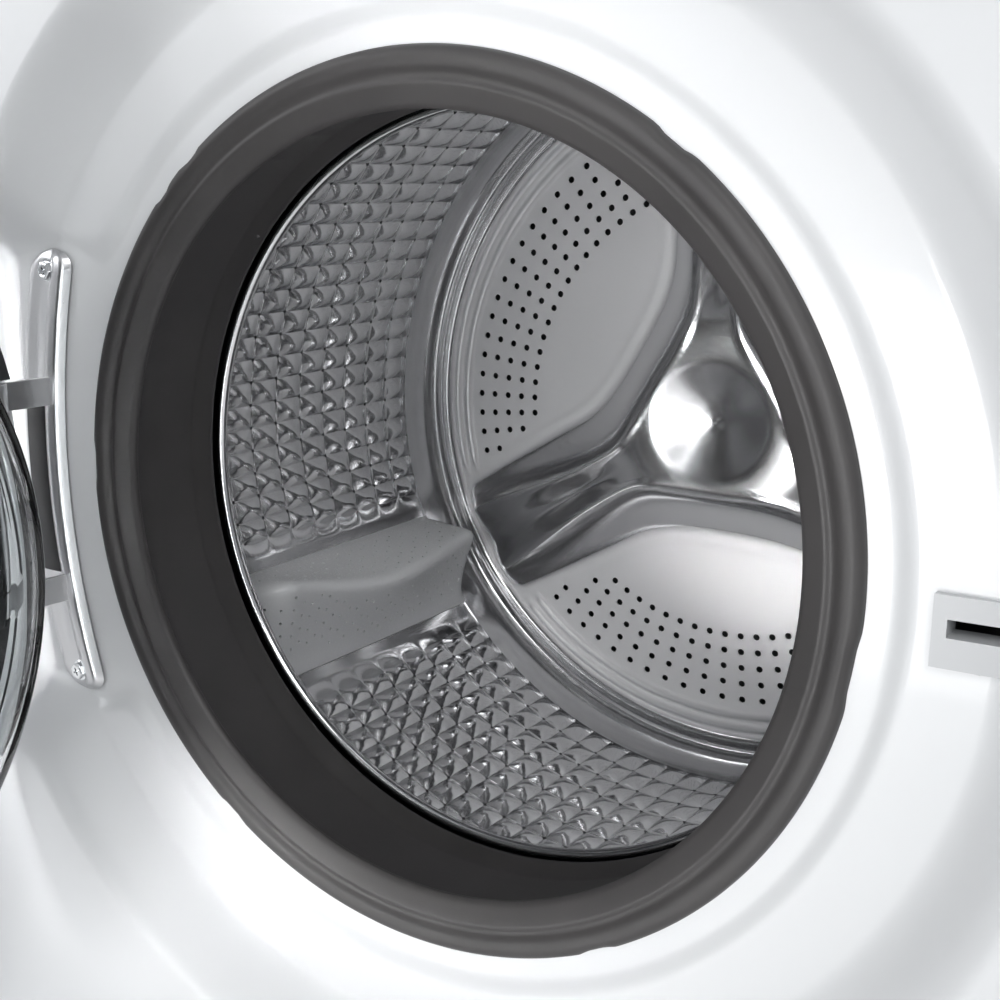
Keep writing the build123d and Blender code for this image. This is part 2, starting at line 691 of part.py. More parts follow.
# ------------------------------------------------------------------ drum
with BuildPart() as drum_shell:
    with BuildSketch(across(MOUTH_Y + 17)):
        Circle(DRUM_R + DRUM_SHEET)
        Circle(DRUM_R, mode=Mode.SUBTRACT)
    extrude(amount=DRUM_REAR_Y - MOUTH_Y - 17)
keep(drum_shell.part, "drum_shell")

BEAD_R = 3.2
with BuildPart() as drum_front:
    with BuildSketch(MERIDIAN):
        with BuildLine():
            Polyline(
                (MOUTH_R + 3, MOUTH_Y),
                (DRUM_R - 6, MOUTH_Y + 10),
                (DRUM_R - 0.1, MOUTH_Y + 16),
                (DRUM_R - 0.1, MOUTH_Y + 26),
                (DRUM_R - 1, MOUTH_Y + 26),
                (DRUM_R - 1, MOUTH_Y + 16.4),
                (DRUM_R - 6.5, MOUTH_Y + 11),
                (MOUTH_R + 3, MOUTH_Y + 1),
                close=True,
            )
        make_face()
        with Locations((MOUTH_R + BEAD_R, MOUTH_Y + 1)):
            Circle(BEAD_R)
    revolve(axis=DRUM_AXIS)
keep(drum_front.part, "drum_front")

STAR_TOP_Y = BACK_Y - 45     # crest of the three-armed star at its hub
STAR_ARM_HALF_W = 46
STAR_TAPER = 36


def star_block(half_w, height, hub_r):
    """A three-armed block standing forward of the drum back, its sides sloping in."""
    with BuildPart() as block:
        for angle in ARM_ANGLES:
            arm_plane = Plane(
                origin=(0, BACK_Y + 0.5, AXIS_Z),
                x_dir=(cos(radians(angle)), 0, sin(radians(angle))),
                z_dir=(0, -1, 0),
            )
            with BuildSketch(arm_plane):
                with Locations((SEAM_R / 2, 0)):
                    Rectangle(SEAM_R + 60, 2 * half_w)
            extrude(amount=height, taper=STAR_TAPER)
        with BuildSketch(Plane(origin=(0, BACK_Y + 0.5, AXIS_Z), x_dir=(1, 0, 0), z_dir=(0, -1, 0))):
            Circle(hub_r)
        extrude(amount=height, taper=STAR_TAPER)
    return block.part


star_limit = ring_of([
    (0, BACK_Y + 1),
    (0, STAR_TOP_Y),
    (40, STAR_TOP_Y),
    (SEAM_R - 8, BACK_Y - 5),
    (SEAM_R - 8, BACK_Y + 1),
])
star_hollow_limit = ring_of([
    (0, BACK_Y + 3),
    (0, STAR_TOP_Y + 2),
    (38, STAR_TOP_Y + 2),
    (SEAM_R - 16, BACK_Y - 2.5),
    (SEAM_R - 16, BACK_Y + 3),
])
star_outside = star_block(STAR_ARM_HALF_W, 46, 72) & star_limit
star_inside = star_block(STAR_ARM_HALF_W - 2.5, 44, 69) & star_hollow_limit

with BuildPart() as drum_back:
    with BuildSketch(MERIDIAN):
        with BuildLine():
            Polyline(
                (0, BACK_Y),
                (SEAM_R - 26, BACK_Y),
                (SEAM_R - 22, BACK_Y - 4),
                (SEAM_R - 4, BACK_Y - 4),
                (SEAM_R + 4, BACK_Y - 12),
                (DRUM_R - 3, DRUM_REAR_Y + 8),
                (DRUM_R, DRUM_REAR_Y),
                (DRUM_R + 1, DRUM_REAR_Y),
                (DRUM_R - 1.6, DRUM_REAR_Y + 9),
                (SEAM_R + 5, BACK_Y - 10.6),
                (SEAM_R - 3, BACK_Y - 2.6),
                (SEAM_R - 21, BACK_Y - 2.6),
                (SEAM_R - 25, BACK_Y + 1.2),
                (0, BACK_Y + 1.2),
                close=True,
            )
        make_face()
    revolve(axis=DRUM_AXIS)
    add(star_outside)
    add(star_inside, mode=Mode.SUBTRACT)
    with BuildSketch(across(BACK_Y - 60)):
        Circle(SHAFT_R - 3)
    extrude(amount=3, mode=Mode.SUBTRACT)
keep(drum_back.part, "drum_back")

LIFTER_FRONT_Y = MOUTH_Y + 30
LIFTER_BASE_HALF = (DRUM_R - 1) * sin(radians(LIFTER_HALF_DEG))
LIFTER_WALL = 2.5


def lifter_block(half_base, half_crest, height, y0, y1, foot_r):
    """A ridge along Y on the drum wall at the top of the drum, seated on a cylinder of foot_r."""
    with BuildPart() as block:
        with BuildSketch(across(y0)):
            with BuildLine():
                Polyline(
                    (-half_base, -foot_r + 8),
                    (-half_base, -foot_r - 6),
                    (half_base, -foot_r - 6),
                    (half_base, -foot_r + 8),
                    (half_crest, -foot_r + height),
                    (-half_crest, -foot_r + height),
                    close=True,
                )
            make_face()
        extrude(amount=y1 - y0)
        add(tube(y0 - 1, y1 + 1, foot_r, 0), mode=Mode.INTERSECT)
    return block.part


lifter_skin = lifter_block(LIFTER_BASE_HALF, 9, LIFTER_H, LIFTER_FRONT_Y, DRUM_REAR_Y, DRUM_R - 0.1)
lifter_room = lifter_block(
    LIFTER_BASE_HALF - LIFTER_WALL,
    7,
    LIFTER_H - LIFTER_WALL,
    LIFTER_FRONT_Y + 3,
    DRUM_REAR_Y - 3,
    DRUM_R + 1,
)
with BuildPart() as lifter:
    add(lifter_skin)
    chamfer(lifter.faces().sort_by(Axis.Z)[0].edges().filter_by(Axis.X), 14)
    add(lifter_room, mode=Mode.SUBTRACT)
for number, angle in enumerate(ARM_ANGLES, start=1):
    keep(lifter.part.rotate(DRUM_AXIS, 90 - angle), f"lifter_{number}")

SPIDER_FRONT_Y = BACK_Y + 1.4
with BuildPart() as spider:
    for angle in ARM_ANGLES:
        arm_plane = Plane(
            origin=(0, SPIDER_FRONT_Y, AXIS_Z),
            x_dir=(cos(radians(angle)), 0, sin(radians(angle))),
            z_dir=(0, 1, 0),
        )
        with BuildSketch(arm_plane):
            with BuildLine():
                Polyline((0, -30), (SEAM_R - 6, -16), (SEAM_R - 6, 16), (0, 30), close=True)
            make_face()
        extrude(amount=16)
    with BuildSketch(across(SPIDER_FRONT_Y)):
        Circle(38)
    extrude(amount=26)
    with BuildSketch(across(SPIDER_FRONT_Y + 6)):
        Circle(SHAFT_R)
    extrude(amount=30, mode=Mode.SUBTRACT)
keep(spider.part, "spider")

SHAFT_END_Y = PULLEY_Y + PULLEY_W + 6
with BuildPart() as drum_shaft:
    with BuildSketch(across(SPIDER_FRONT_Y + 6)):
        Circle(SHAFT_R)
    extrude(amount=SHAFT_END_Y - SPIDER_FRONT_Y - 6)
    chamfer(drum_shaft.edges().group_by(Axis.Y)[-1], 1)
keep(drum_shaft.part, "drum_shaft")

with BuildPart() as drum_pulley:
    with BuildSketch(across(PULLEY_Y)):
        Circle(PULLEY_R)
        Circle(PULLEY_R - 8, mode=Mode.SUBTRACT)
        Circle(26)
        Circle(SHAFT_R, mode=Mode.SUBTRACT)
    extrude(amount=PULLEY_W)
    with BuildSketch(across(PULLEY_Y + PULLEY_W / 2 - 2)):
        Circle(PULLEY_R - 7)
        Circle(25, mode=Mode.SUBTRACT)
    extrude(amount=4)
keep(drum_pulley.part, "drum_pulley")

# ------------------------------------------------------------------ motor and belt
BELT_GAP = 0.2
BELT_T = 3
BELT_W = 10
PULLEY_SPAN = sqrt(MOTOR_X**2 + (AXIS_Z - MOTOR_Z) ** 2)
PULLEY_LINE = atan2(AXIS_Z - MOTOR_Z, MOTOR_X)


def band_corners(extra):
    """Where a band that stands extra off both pulleys leaves their rims, as seen along the axis."""
    big = PULLEY_R + extra
    small = MOTOR_PULLEY_R + extra
    lean = acos((big - small) / PULLEY_SPAN)
    corners = []
    for turn in (lean, -lean):
        toward = (cos(PULLEY_LINE + turn), sin(PULLEY_LINE + turn))
        leaves = [
            (big * toward[0], big * toward[1]),
            (MOTOR_X + small * toward[0], AXIS_Z - MOTOR_Z + small * toward[1]),
        ]
        corners += leaves if turn > 0 else leaves[::-1]
    return corners


with BuildPart() as drive_belt:
    for extra, mode in ((BELT_GAP + BELT_T, Mode.ADD), (BELT_GAP, Mode.SUBTRACT)):
        with BuildSketch(across(PULLEY_Y + (PULLEY_W - BELT_W) / 2)):
            Circle(PULLEY_R + extra)
            with Locations((MOTOR_X, AXIS_Z - MOTOR_Z)):
                Circle(MOTOR_PULLEY_R + extra)
            Polygon(*band_corners(extra), align=None)
        extrude(amount=BELT_W, mode=mode)
keep(drive_belt.part, "drive_belt")

MOTOR_FRONT_Y = 20
MOTOR_REAR_Y = 196
ROTOR_SHAFT_R = 7
with BuildPart() as motor_housing:
    with BuildSketch(upright(MOTOR_X, MOTOR_FRONT_Y, MOTOR_Z)):
        Circle(MOTOR_R)
    extrude(amount=MOTOR_REAR_Y - MOTOR_FRONT_Y)
    with BuildSketch(level(MOTOR_Z + 30)):
        with Locations((MOTOR_X - 30, 110), (MOTOR_X + 30, 110)):
            Rectangle(14, 70)
    extrude(amount=MOTOR_LUG_Z - MOTOR_Z - 30)
    with BuildSketch(upright(MOTOR_X, MOTOR_FRONT_Y + 6, MOTOR_Z)):
        Circle(MOTOR_R - 6)
    extrude(amount=MOTOR_REAR_Y - MOTOR_FRONT_Y - 12, mode=Mode.SUBTRACT)
    with BuildSketch(upright(MOTOR_X, MOTOR_FRONT_Y - 1, MOTOR_Z)):
        Circle(ROTOR_SHAFT_R + RUN_GAP)
    extrude(amount=MOTOR_REAR_Y - MOTOR_FRONT_Y + 2, mode=Mode.SUBTRACT)
keep(motor_housing.part, "motor_housing")

with BuildPart() as motor_rotor:
    with BuildSketch(upright(MOTOR_X, MOTOR_FRONT_Y - 4, MOTOR_Z)):
        Circle(ROTOR_SHAFT_R)
    extrude(amount=PULLEY_Y + PULLEY_W + 2 - MOTOR_FRONT_Y + 4)
    with BuildSketch(upright(MOTOR_X, MOTOR_FRONT_Y + 20, MOTOR_Z)):
        Circle(34)
    extrude(amount=MOTOR_REAR_Y - MOTOR_FRONT_Y - 40)
    with BuildSketch(upright(MOTOR_X, PULLEY_Y, MOTOR_Z)):
        Circle(MOTOR_PULLEY_R)
    extrude(amount=PULLEY_W)
keep(motor_rotor.part, "motor_rotor")

# ------------------------------------------------------------------ suspension
SPRING_R = 11
SPRING_PINS = [(x, y) for x in (-SPRING_X, SPRING_X) for y in SPRING_YS]
with BuildPart() as suspension_springs:
    for z0, z1, radius in (
        (EAR_Z - 4, RAIL_Z + 8, 3),
        (EAR_Z + 8, EAR_Z + 20, 8),
        (RAIL_Z - 20, RAIL_Z - 8, 8),
        (RAIL_Z + 3, RAIL_Z + 7, 8),
        (EAR_Z + 20, RAIL_Z - 20, SPRING_R),
    ):
        with BuildSketch(level(z0)):
            with Locations(*SPRING_PINS):
                Circle(radius)
        extrude(amount=z1 - z0)
keep(suspension_springs.part, "suspension_springs")

DAMPER_R = 16
DAMPER_TOP = 124
PISTON_R = 12.5
with BuildPart() as damper_cylinders:
    for x in (-DAMPER_X, DAMPER_X):
        with BuildSketch(level(BASE_Z + 3, x, DAMPER_Y)):
            Circle(DAMPER_R)
        extrude(amount=DAMPER_TOP - BASE_Z - 3)
        with BuildSketch(level(BASE_Z + 18, x, DAMPER_Y)):
            Circle(PISTON_R + 0.5)
        extrude(amount=DAMPER_TOP - BASE_Z - 22, mode=Mode.SUBTRACT)
        with BuildSketch(level(DAMPER_TOP - 10, x, DAMPER_Y)):
            Circle(6.4)
        extrude(amount=12, mode=Mode.SUBTRACT)
keep(damper_cylinders.part, "damper_cylinders")

with BuildPart() as damper_rods:
    for x in (-DAMPER_X, DAMPER_X):
        with BuildSketch(level(68, x, DAMPER_Y)):
            Circle(PISTON_R)
        extrude(amount=12)
        with BuildSketch(level(80, x, DAMPER_Y)):
            Circle(6)
        extrude(amount=LUG_TOP_Z - 8 - 80)
keep(damper_rods.part, "damper_rods")

# ------------------------------------------------------------------ pump and hoses
PUMP_FRONT_Y = FRONT_Y + 18
PUMP_BODY_Y = PUMP_FRONT_Y + 96
with BuildPart() as drain_pump:
    with BuildSketch(upright(FILTER_X, PUMP_FRONT_Y, FILTER_Z)):
        Circle(33)
    extrude(amount=96)
    with BuildSketch(upright(FILTER_X, PUMP_BODY_Y, FILTER_Z)):
        Circle(28)
    extrude(amount=60)
    with BuildSketch(level(BASE_Z + 3, FILTER_X, PUMP_BODY_Y - 20)):
        Rectangle(50, 40)
    extrude(amount=20)
    # inlet branch towards the sump, and outlet branch
    with BuildSketch(Plane(origin=(FILTER_X - 30, PUMP_BODY_Y - 30, FILTER_Z), z_dir=(-1, 0, 0))):
        Circle(20)
    extrude(amount=30)
    with BuildSketch(Plane(origin=(FILTER_X + 20, PUMP_BODY_Y - 16, FILTER_Z + 10), z_dir=(1, 0, 0))):
        Circle(11)
    extrude(amount=38)
    with BuildSketch(upright(FILTER_X, PUMP_FRONT_Y - 1, FILTER_Z)):
        Circle(29)
    extrude(amount=92, mode=Mode.SUBTRACT)
keep(drain_pump.part, "drain_pump")

FILTER_FACE_Y = PUMP_FRONT_Y - 7
with BuildPart() as pump_filter:
    with BuildSketch(upright(FILTER_X, PUMP_FRONT_Y - 4, FILTER_Z)):
        Circle(31)
    extrude(amount=4)
    with BuildSketch(upright(FILTER_X, PUMP_FRONT_Y, FILTER_Z)):
        Circle(28.4)
        Circle(25, mode=Mode.SUBTRACT)
    extrude(amount=60)
    with BuildSketch(upright(FILTER_X, PUMP_FRONT_Y - 1, FILTER_Z)):
        Circle(28.4)
    extrude(amount=4)
    with BuildSketch(upright(FILTER_X, FILTER_FACE_Y, FILTER_Z)):
        Rectangle(44, 7)
    extrude(amount=3)
keep(pump_filter.part, "pump_filter")

SUMP_HOSE_R = 20
hose_end = (FILTER_X - 60, PUMP_BODY_Y - 30, FILTER_Z)
sump_hose = hose(
    [
        (SUMP_X, SUMP_Y, SUMP_Z),
        (SUMP_X, SUMP_Y, SUMP_Z - 40),
        (SUMP_X, SUMP_Y - 100, FILTER_Z),
        (SUMP_X, PUMP_BODY_Y - 30, FILTER_Z),
        hose_end,
    ],
    [24, 24, 24],
    16,
    SUMP_HOSE_R,
)
keep(sump_hose, "sump_hose")

DRAIN_HOSE_R = 11
drain_start = (FILTER_X + 58, PUMP_BODY_Y - 16, FILTER_Z + 10)
drain_hose = hose(
    [
        drain_start,
        (drain_start[0] + 16, drain_start[1], drain_start[2]),
        (drain_start[0] + 16, 180, 70),
        (drain_start[0] + 8, 240, 170),
        (drain_start[0] + 8, 250, 690),
        (120, 255, 735),
        (-120, 255, 735),
        (DRAIN_OUT_X, 262, DRAIN_OUT_Z),
        (DRAIN_OUT_X, REAR_Y + 14, DRAIN_OUT_Z),
    ],
    [15, 90, 60, 60, 60, 60, 12],
    8,
    DRAIN_HOSE_R,
)
keep(drain_hose, "drain_hose")

# ------------------------------------------------------------------ detergent drawer and water path
TRAY_X = (-272, -140)
TRAY_Z = (738, 786)
TRAY_FRONT_Y = FASCIA_FRONT_Y + 4
TRAY_REAR_Y = -20
HOUSING_FRONT_Y = SIDE_FRONT_Y
tray_w = TRAY_X[1] - TRAY_X[0]
tray_mid_x = sum(TRAY_X) / 2

HOUSING_Z = (TRAY_Z[0] - 22, RAIL_Z - 3)
HOUSING_WALL = 2.5
housing_w = tray_w + 8

with BuildPart() as dispenser_housing:
    with BuildSketch(level(HOUSING_Z[0], tray_mid_x, (HOUSING_FRONT_Y + TRAY_REAR_Y + 6) / 2)):
        Rectangle(housing_w, TRAY_REAR_Y + 6 - HOUSING_FRONT_Y)
    extrude(amount=HOUSING_Z[1] - HOUSING_Z[0])
    with BuildSketch(level(HOUSING_Z[0] + HOUSING_WALL, tray_mid_x, (HOUSING_FRONT_Y + TRAY_REAR_Y) / 2)):
        Rectangle(housing_w - 2 * HOUSING_WALL, TRAY_REAR_Y + 7 - HOUSING_FRONT_Y)
    extrude(amount=HOUSING_Z[1] - HOUSING_Z[0] - 2 * HOUSING_WALL, mode=Mode.SUBTRACT)
    with BuildSketch(level(HOUSING_Z[0] - 14, NOZZLE_X, NOZZLE_Y)):
        Circle(NOZZLE_R)
    extrude(amount=15)
    with BuildSketch(level(HOUSING_Z[0] - 15, NOZZLE_X, NOZZLE_Y)):
        Circle(NOZZLE_R - 3)
    extrude(amount=20, mode=Mode.SUBTRACT)
keep(dispenser_housing.part, "dispenser_housing")

with BuildPart() as detergent_drawer:
    with BuildSketch(level(TRAY_Z[0], tray_mid_x, (TRAY_FRONT_Y + TRAY_REAR_Y) / 2)):
        Rectangle(tray_w, TRAY_REAR_Y - TRAY_FRONT_Y)
    extrude(amount=TRAY_Z[1] - TRAY_Z[0])
    with BuildSketch(level(TRAY_Z[0] + 2, tray_mid_x, (TRAY_FRONT_Y + TRAY_REAR_Y) / 2)):
        with Locations((-tray_w / 4 + 0.5, 0)):
            Rectangle(tray_w / 2 - 5, TRAY_REAR_Y - TRAY_FRONT_Y - 5)
        with Locations((tray_w / 4 - 0.5, -60)):
            Rectangle(tray_w / 2 - 5, (TRAY_REAR_Y - TRAY_FRONT_Y) / 2 - 12)
        with Locations((tray_w / 4 - 0.5, 66)):
            Rectangle(tray_w / 2 - 5, (TRAY_REAR_Y - TRAY_FRONT_Y) / 2 - 12)
    extrude(amount=TRAY_Z[1] - TRAY_Z[0], mode=Mode.SUBTRACT)
keep(detergent_drawer.part, "detergent_drawer")

with BuildPart() as drawer_front:
    with BuildSketch(upright(sum(DRAWER_X) / 2, FASCIA_FRONT_Y - 2, CONTROL_Z)):
        RectangleRounded(DRAWER_X[1] - DRAWER_X[0], DRAWER_Z[1] - DRAWER_Z[0], 4)
    extrude(amount=6)
    fillet(drawer_front.faces().sort_by(Axis.Y)[0].edges(), 1.5)
    with BuildSketch(upright(sum(DRAWER_X) / 2, FASCIA_FRONT_Y - 2, DRAWER_Z[0] + 13)):
        SlotOverall(90, 16)
    extrude(amount=4, mode=Mode.SUBTRACT)
keep(drawer_front.part, "drawer_front")

BELLOWS_Z = (NOZZLE_TOP, HOUSING_Z[0] - 14)
BELLOWS_FOLDS = 4
bellows_pitch = (BELLOWS_Z[1] - BELLOWS_Z[0]) / BELLOWS_FOLDS
with BuildPart() as dispenser_hose:
    for fold in range(BELLOWS_FOLDS):
        with BuildSketch(level(BELLOWS_Z[0] + fold * bellows_pitch, NOZZLE_X, NOZZLE_Y)):
            Circle(NOZZLE_R)
        extrude(amount=bellows_pitch / 2)
        with BuildSketch(level(BELLOWS_Z[0] + (fold + 0.5) * bellows_pitch, NOZZLE_X, NOZZLE_Y)):
            Circle(NOZZLE_R + 4)
        extrude(amount=bellows_pitch / 2)
    with BuildSketch(level(BELLOWS_Z[0], NOZZLE_X, NOZZLE_Y)):
        Circle(NOZZLE_R - 3)
    extrude(amount=BELLOWS_Z[1] - BELLOWS_Z[0], mode=Mode.SUBTRACT)
keep(dispenser_hose.part, "dispenser_hose")

with BuildPart() as inlet_valve:
    with BuildSketch(upright(INLET_X, REAR_Y - 62, INLET_Z)):
        Circle(11)
    extrude(amount=30)
    with BuildSketch(upright(INLET_X, REAR_Y - 40, INLET_Z)):
        Rectangle(40, 34)
    extrude(amount=38)
    with BuildSketch(upright(INLET_X, REAR_Y - 8, INLET_Z)):
        Circle(13.2)
    extrude(amount=26)
    with BuildSketch(upright(INLET_X, REAR_Y + 2, INLET_Z)):
        Circle(8)
    extrude(amount=20, mode=Mode.SUBTRACT)
keep(inlet_valve.part, "inlet_valve")

with BuildPart() as mains_filter:
    with BuildSketch(upright(MAINS_X, REAR_Y - 46, MAINS_Z)):
        Rectangle(60, 38)
    extrude(amount=44)
    with BuildSketch(upright(MAINS_X, REAR_Y - 4, MAINS_Z)):
        Circle(8.5)
    extrude(amount=12)
    with BuildSketch(upright(MAINS_X, REAR_Y - 2, MAINS_Z)):
        Circle(4.5)
    extrude(amount=20, mode=Mode.SUBTRACT)
keep(mains_filter.part, "mains_filter")

# ------------------------------------------------------------------ knob and button
with BuildPart() as programme_knob:
    with BuildSketch(upright(KNOB_X, FASCIA_FRONT_Y - 22, CONTROL_Z)):
        Circle(25)
    extrude(amount=21.5)
    fillet(programme_knob.faces().sort_by(Axis.Y)[0].edges(), 2.5)
    with BuildSketch(upright(KNOB_X, FASCIA_FRONT_Y - 1, CONTROL_Z)):
        Circle(3.5)
    extrude(amount=16)
    with BuildSketch(upright(KNOB_X, FASCIA_FRONT_Y - 22, CONTROL_Z)):
        with Locations((0, -18)):
            Rectangle(2, 9)
    extrude(amount=1, mode=Mode.SUBTRACT)
keep(programme_knob.part, "programme_knob")

with BuildPart() as start_button:
    with BuildSketch(upright(BUTTON_X, FASCIA_FRONT_Y - 2.5, CONTROL_Z)):
        Circle(14)
    extrude(amount=6)
    fillet(start_button.faces().sort_by(Axis.Y)[0].edges(), 1)
    with BuildSketch(upright(BUTTON_X, FASCIA_FRONT_Y + 3, CONTROL_Z)):
        Circle(2.5)
    extrude(amount=9)
keep(start_button.part, "start_button")

# ------------------------------------------------------------------ door, modelled shut and then opened
DOOR_BACK_Y = DISH_FLOOR_Y - 36
DOOR_MID_Y = DOOR_BACK_Y - 14
DOOR_FACE_Y = DOOR_BACK_Y - 32
BOWL_END_Y = DISH_FLOOR_Y + 84
GLASS_T = 6


def opened(piece):
    """Turn a piece of the shut door to the angle at which the part is stored."""
    return piece.rotate(HINGE_AXIS, -DOOR_OPEN_DEG)


door_glass = ring_of([
    (0, BOWL_END_Y),
    (136, BOWL_END_Y),
    (148, BOWL_END_Y - 3),
    (154, BOWL_END_Y - 12),
    (BOWL_R - 3, DISH_FLOOR_Y + 30),
    (BOWL_R, DISH_FLOOR_Y),
    (BOWL_R, DOOR_BACK_Y + 6),
    (186, DOOR_BACK_Y + 6),
    (186, DOOR_BACK_Y),
    (BOWL_R - GLASS_T, DOOR_BACK_Y),
    (BOWL_R - GLASS_T, DISH_FLOOR_Y),
    (BOWL_R - GLASS_T - 3, DISH_FLOOR_Y + 30),
    (154 - GLASS_T, BOWL_END_Y - 14),
    (144, BOWL_END_Y - 8),
    (134, BOWL_END_Y - GLASS_T),
    (0, BOWL_END_Y - GLASS_T),
])
keep(opened(door_glass), "door_glass")

KNUCKLE_ROOM_R = 12
BARREL_Z = (AXIS_Z + STRAP_Z[1] + STRAP_H / 2, AXIS_Z + STRAP_Z[0] - STRAP_H / 2)
with BuildPart() as strap_room:
    for z in STRAP_Z:
        with BuildSketch(level(AXIS_Z + z - STRAP_H / 2 - 2, HINGE_X, HINGE_Y)):
            Circle(KNUCKLE_ROOM_R)
            with Locations((0, 20)):
                Rectangle(2 * KNUCKLE_ROOM_R, 40)
            with Locations((-20, 10)):
                Rectangle(40, 2 * KNUCKLE_ROOM_R + 20)
        extrude(amount=STRAP_H + 4)
    with BuildSketch(level(BARREL_Z[0], HINGE_X, HINGE_Y)):
        with Locations((-13.5, 0)):
            Rectangle(53, 50)
    extrude(amount=BARREL_Z[1] - BARREL_Z[0])

frame_ring = ring_of([
    (172, DOOR_BACK_Y + 6.3),
    (172, DOOR_BACK_Y + 10),
    (190, DOOR_BACK_Y + 11),
    (DOOR_R - 14, DOOR_BACK_Y + 2),
    (DOOR_R - 12, DOOR_BACK_Y - 2),
    (DOOR_R - 12, DOOR_MID_Y),
    (160, DOOR_MID_Y),
    (160, DOOR_BACK_Y - 0.3),
    (187, DOOR_BACK_Y - 0.3),
    (187, DOOR_BACK_Y + 6.3),
])
HOOK_Z = AXIS_Z + sum(SLOT_Z) / 2
HOOK_PIVOT_X = HOOK_X - 12
HOOK_PIVOT_Y = DOOR_BACK_Y - 6
HOOK_PIN_R = 2
with BuildPart() as door_inner_frame:
    add(frame_ring)
    add(strap_room.part, mode=Mode.SUBTRACT)
    with BuildSketch(level(HOOK_Z - 6, HOOK_PIVOT_X, DOOR_BACK_Y)):
        Rectangle(34, 24)
    extrude(amount=12, mode=Mode.SUBTRACT)
    with BuildSketch(level(HOOK_Z - 6, HOOK_PIVOT_X, HOOK_PIVOT_Y)):
        Circle(HOOK_PIN_R)
    extrude(amount=12)
keep(opened(door_inner_frame.part), "door_inner_frame")

door_outer_ring = ring_of([
    (196, DOOR_MID_Y - 0.5),
    (DOOR_R - 6, DOOR_MID_Y - 0.5),
    (DOOR_R, DOOR_MID_Y - 6),
    (DOOR_R - 1, DOOR_FACE_Y + 6),
    (DOOR_R - 8, DOOR_FACE_Y + 1),
    (DOOR_R - 24, DOOR_FACE_Y - 1),
    (202, DOOR_FACE_Y + 2),
    (196, DOOR_FACE_Y + 5),
])
keep(opened(door_outer_ring), "door_outer_ring")

door_window_cover = ring_of([
    (0, DOOR_FACE_Y - 2),
    (150, DOOR_FACE_Y + 1),
    (195.8, DOOR_FACE_Y + 5),
    (195.8, DOOR_FACE_Y + 8),
    (150, DOOR_FACE_Y + 4),
    (0, DOOR_FACE_Y + 1),
])
keep(opened(door_window_cover), "door_window_cover")

with BuildPart() as door_hinge_barrel:
    with BuildSketch(level(BARREL_Z[0] + 0.5, HINGE_X, HINGE_Y)):
        Circle(EYE_R)
        with Locations((9, -4)):
            Rectangle(8, 5)
        Circle(PIN_R + RUN_GAP, mode=Mode.SUBTRACT)
    extrude(amount=BARREL_Z[1] - BARREL_Z[0] - 1)
keep(opened(door_hinge_barrel.part), "door_hinge_barrel")

with BuildPart() as door_hook:
    with BuildSketch(level(HOOK_Z - 2.5)):
        with BuildLine():
            Polyline(
                (HOOK_X - 18, HOOK_PIVOT_Y - 4),
                (HOOK_X - 4, HOOK_PIVOT_Y - 4),
                (HOOK_X - 4, DISH_FLOOR_Y + 8),
                (HOOK_X + 5, DISH_FLOOR_Y + 8),
                (HOOK_X - 3, DISH_FLOOR_Y + 18),
                (HOOK_X - 10, DISH_FLOOR_Y + 18),
                (HOOK_X - 10, DOOR_BACK_Y + 10),
                (HOOK_X - 18, DOOR_BACK_Y + 2),
                close=True,
            )
        make_face()
        with Locations((HOOK_PIVOT_X, HOOK_PIVOT_Y)):
            Circle(HOOK_PIN_R + RUN_GAP, mode=Mode.SUBTRACT)
    extrude(amount=5)
keep(opened(door_hook.part), "door_hook")
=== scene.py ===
"""Looks of the front load washing machine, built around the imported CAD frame."""
import math

import bmesh
import bpy
import numpy as np
from mathutils import Matrix, Vector


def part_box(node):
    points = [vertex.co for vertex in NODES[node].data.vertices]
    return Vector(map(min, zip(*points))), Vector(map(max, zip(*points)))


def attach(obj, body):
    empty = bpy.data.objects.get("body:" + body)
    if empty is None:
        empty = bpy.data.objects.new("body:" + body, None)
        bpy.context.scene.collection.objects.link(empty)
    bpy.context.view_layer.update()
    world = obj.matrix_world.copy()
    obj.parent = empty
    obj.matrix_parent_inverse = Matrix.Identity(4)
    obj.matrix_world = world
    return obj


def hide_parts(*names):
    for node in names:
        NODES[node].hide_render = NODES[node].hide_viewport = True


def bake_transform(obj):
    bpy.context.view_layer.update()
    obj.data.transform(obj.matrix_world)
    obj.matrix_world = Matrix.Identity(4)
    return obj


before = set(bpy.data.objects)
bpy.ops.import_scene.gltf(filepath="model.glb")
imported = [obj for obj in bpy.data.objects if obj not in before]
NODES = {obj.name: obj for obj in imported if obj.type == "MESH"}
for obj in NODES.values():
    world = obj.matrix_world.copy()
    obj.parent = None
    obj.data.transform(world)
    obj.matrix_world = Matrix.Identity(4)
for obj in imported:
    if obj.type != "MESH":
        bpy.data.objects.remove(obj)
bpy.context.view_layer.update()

MM = 0.001

# ------------------------------------------------------------------ places read from the frame
SHELL_LO, SHELL_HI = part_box("drum_shell")
AXIS_Z = (SHELL_LO.z + SHELL_HI.z) / 2
PANEL_LO, PANEL_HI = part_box("front_panel")
LOCK_LO, LOCK_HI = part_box("lock_bezel")
FLOOR_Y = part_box("hinge_bracket")[1].y          # floor of the round recess, behind the hinge plate
FRONT_Y = PANEL_LO.y
DRUM_R = 243 * MM
MOUTH_R = 180.7 * MM
MOUTH_Y = FLOOR_Y + 77 * MM
DRUM_REAR_Y = SHELL_HI.y
BACK_Y = FLOOR_Y + 370 * MM
SECTORS = (90, 210, 330)                        # lifters and star arms, in degrees
PETALS = (30, 150, 270)                         # middles of the perforated petals between the arms


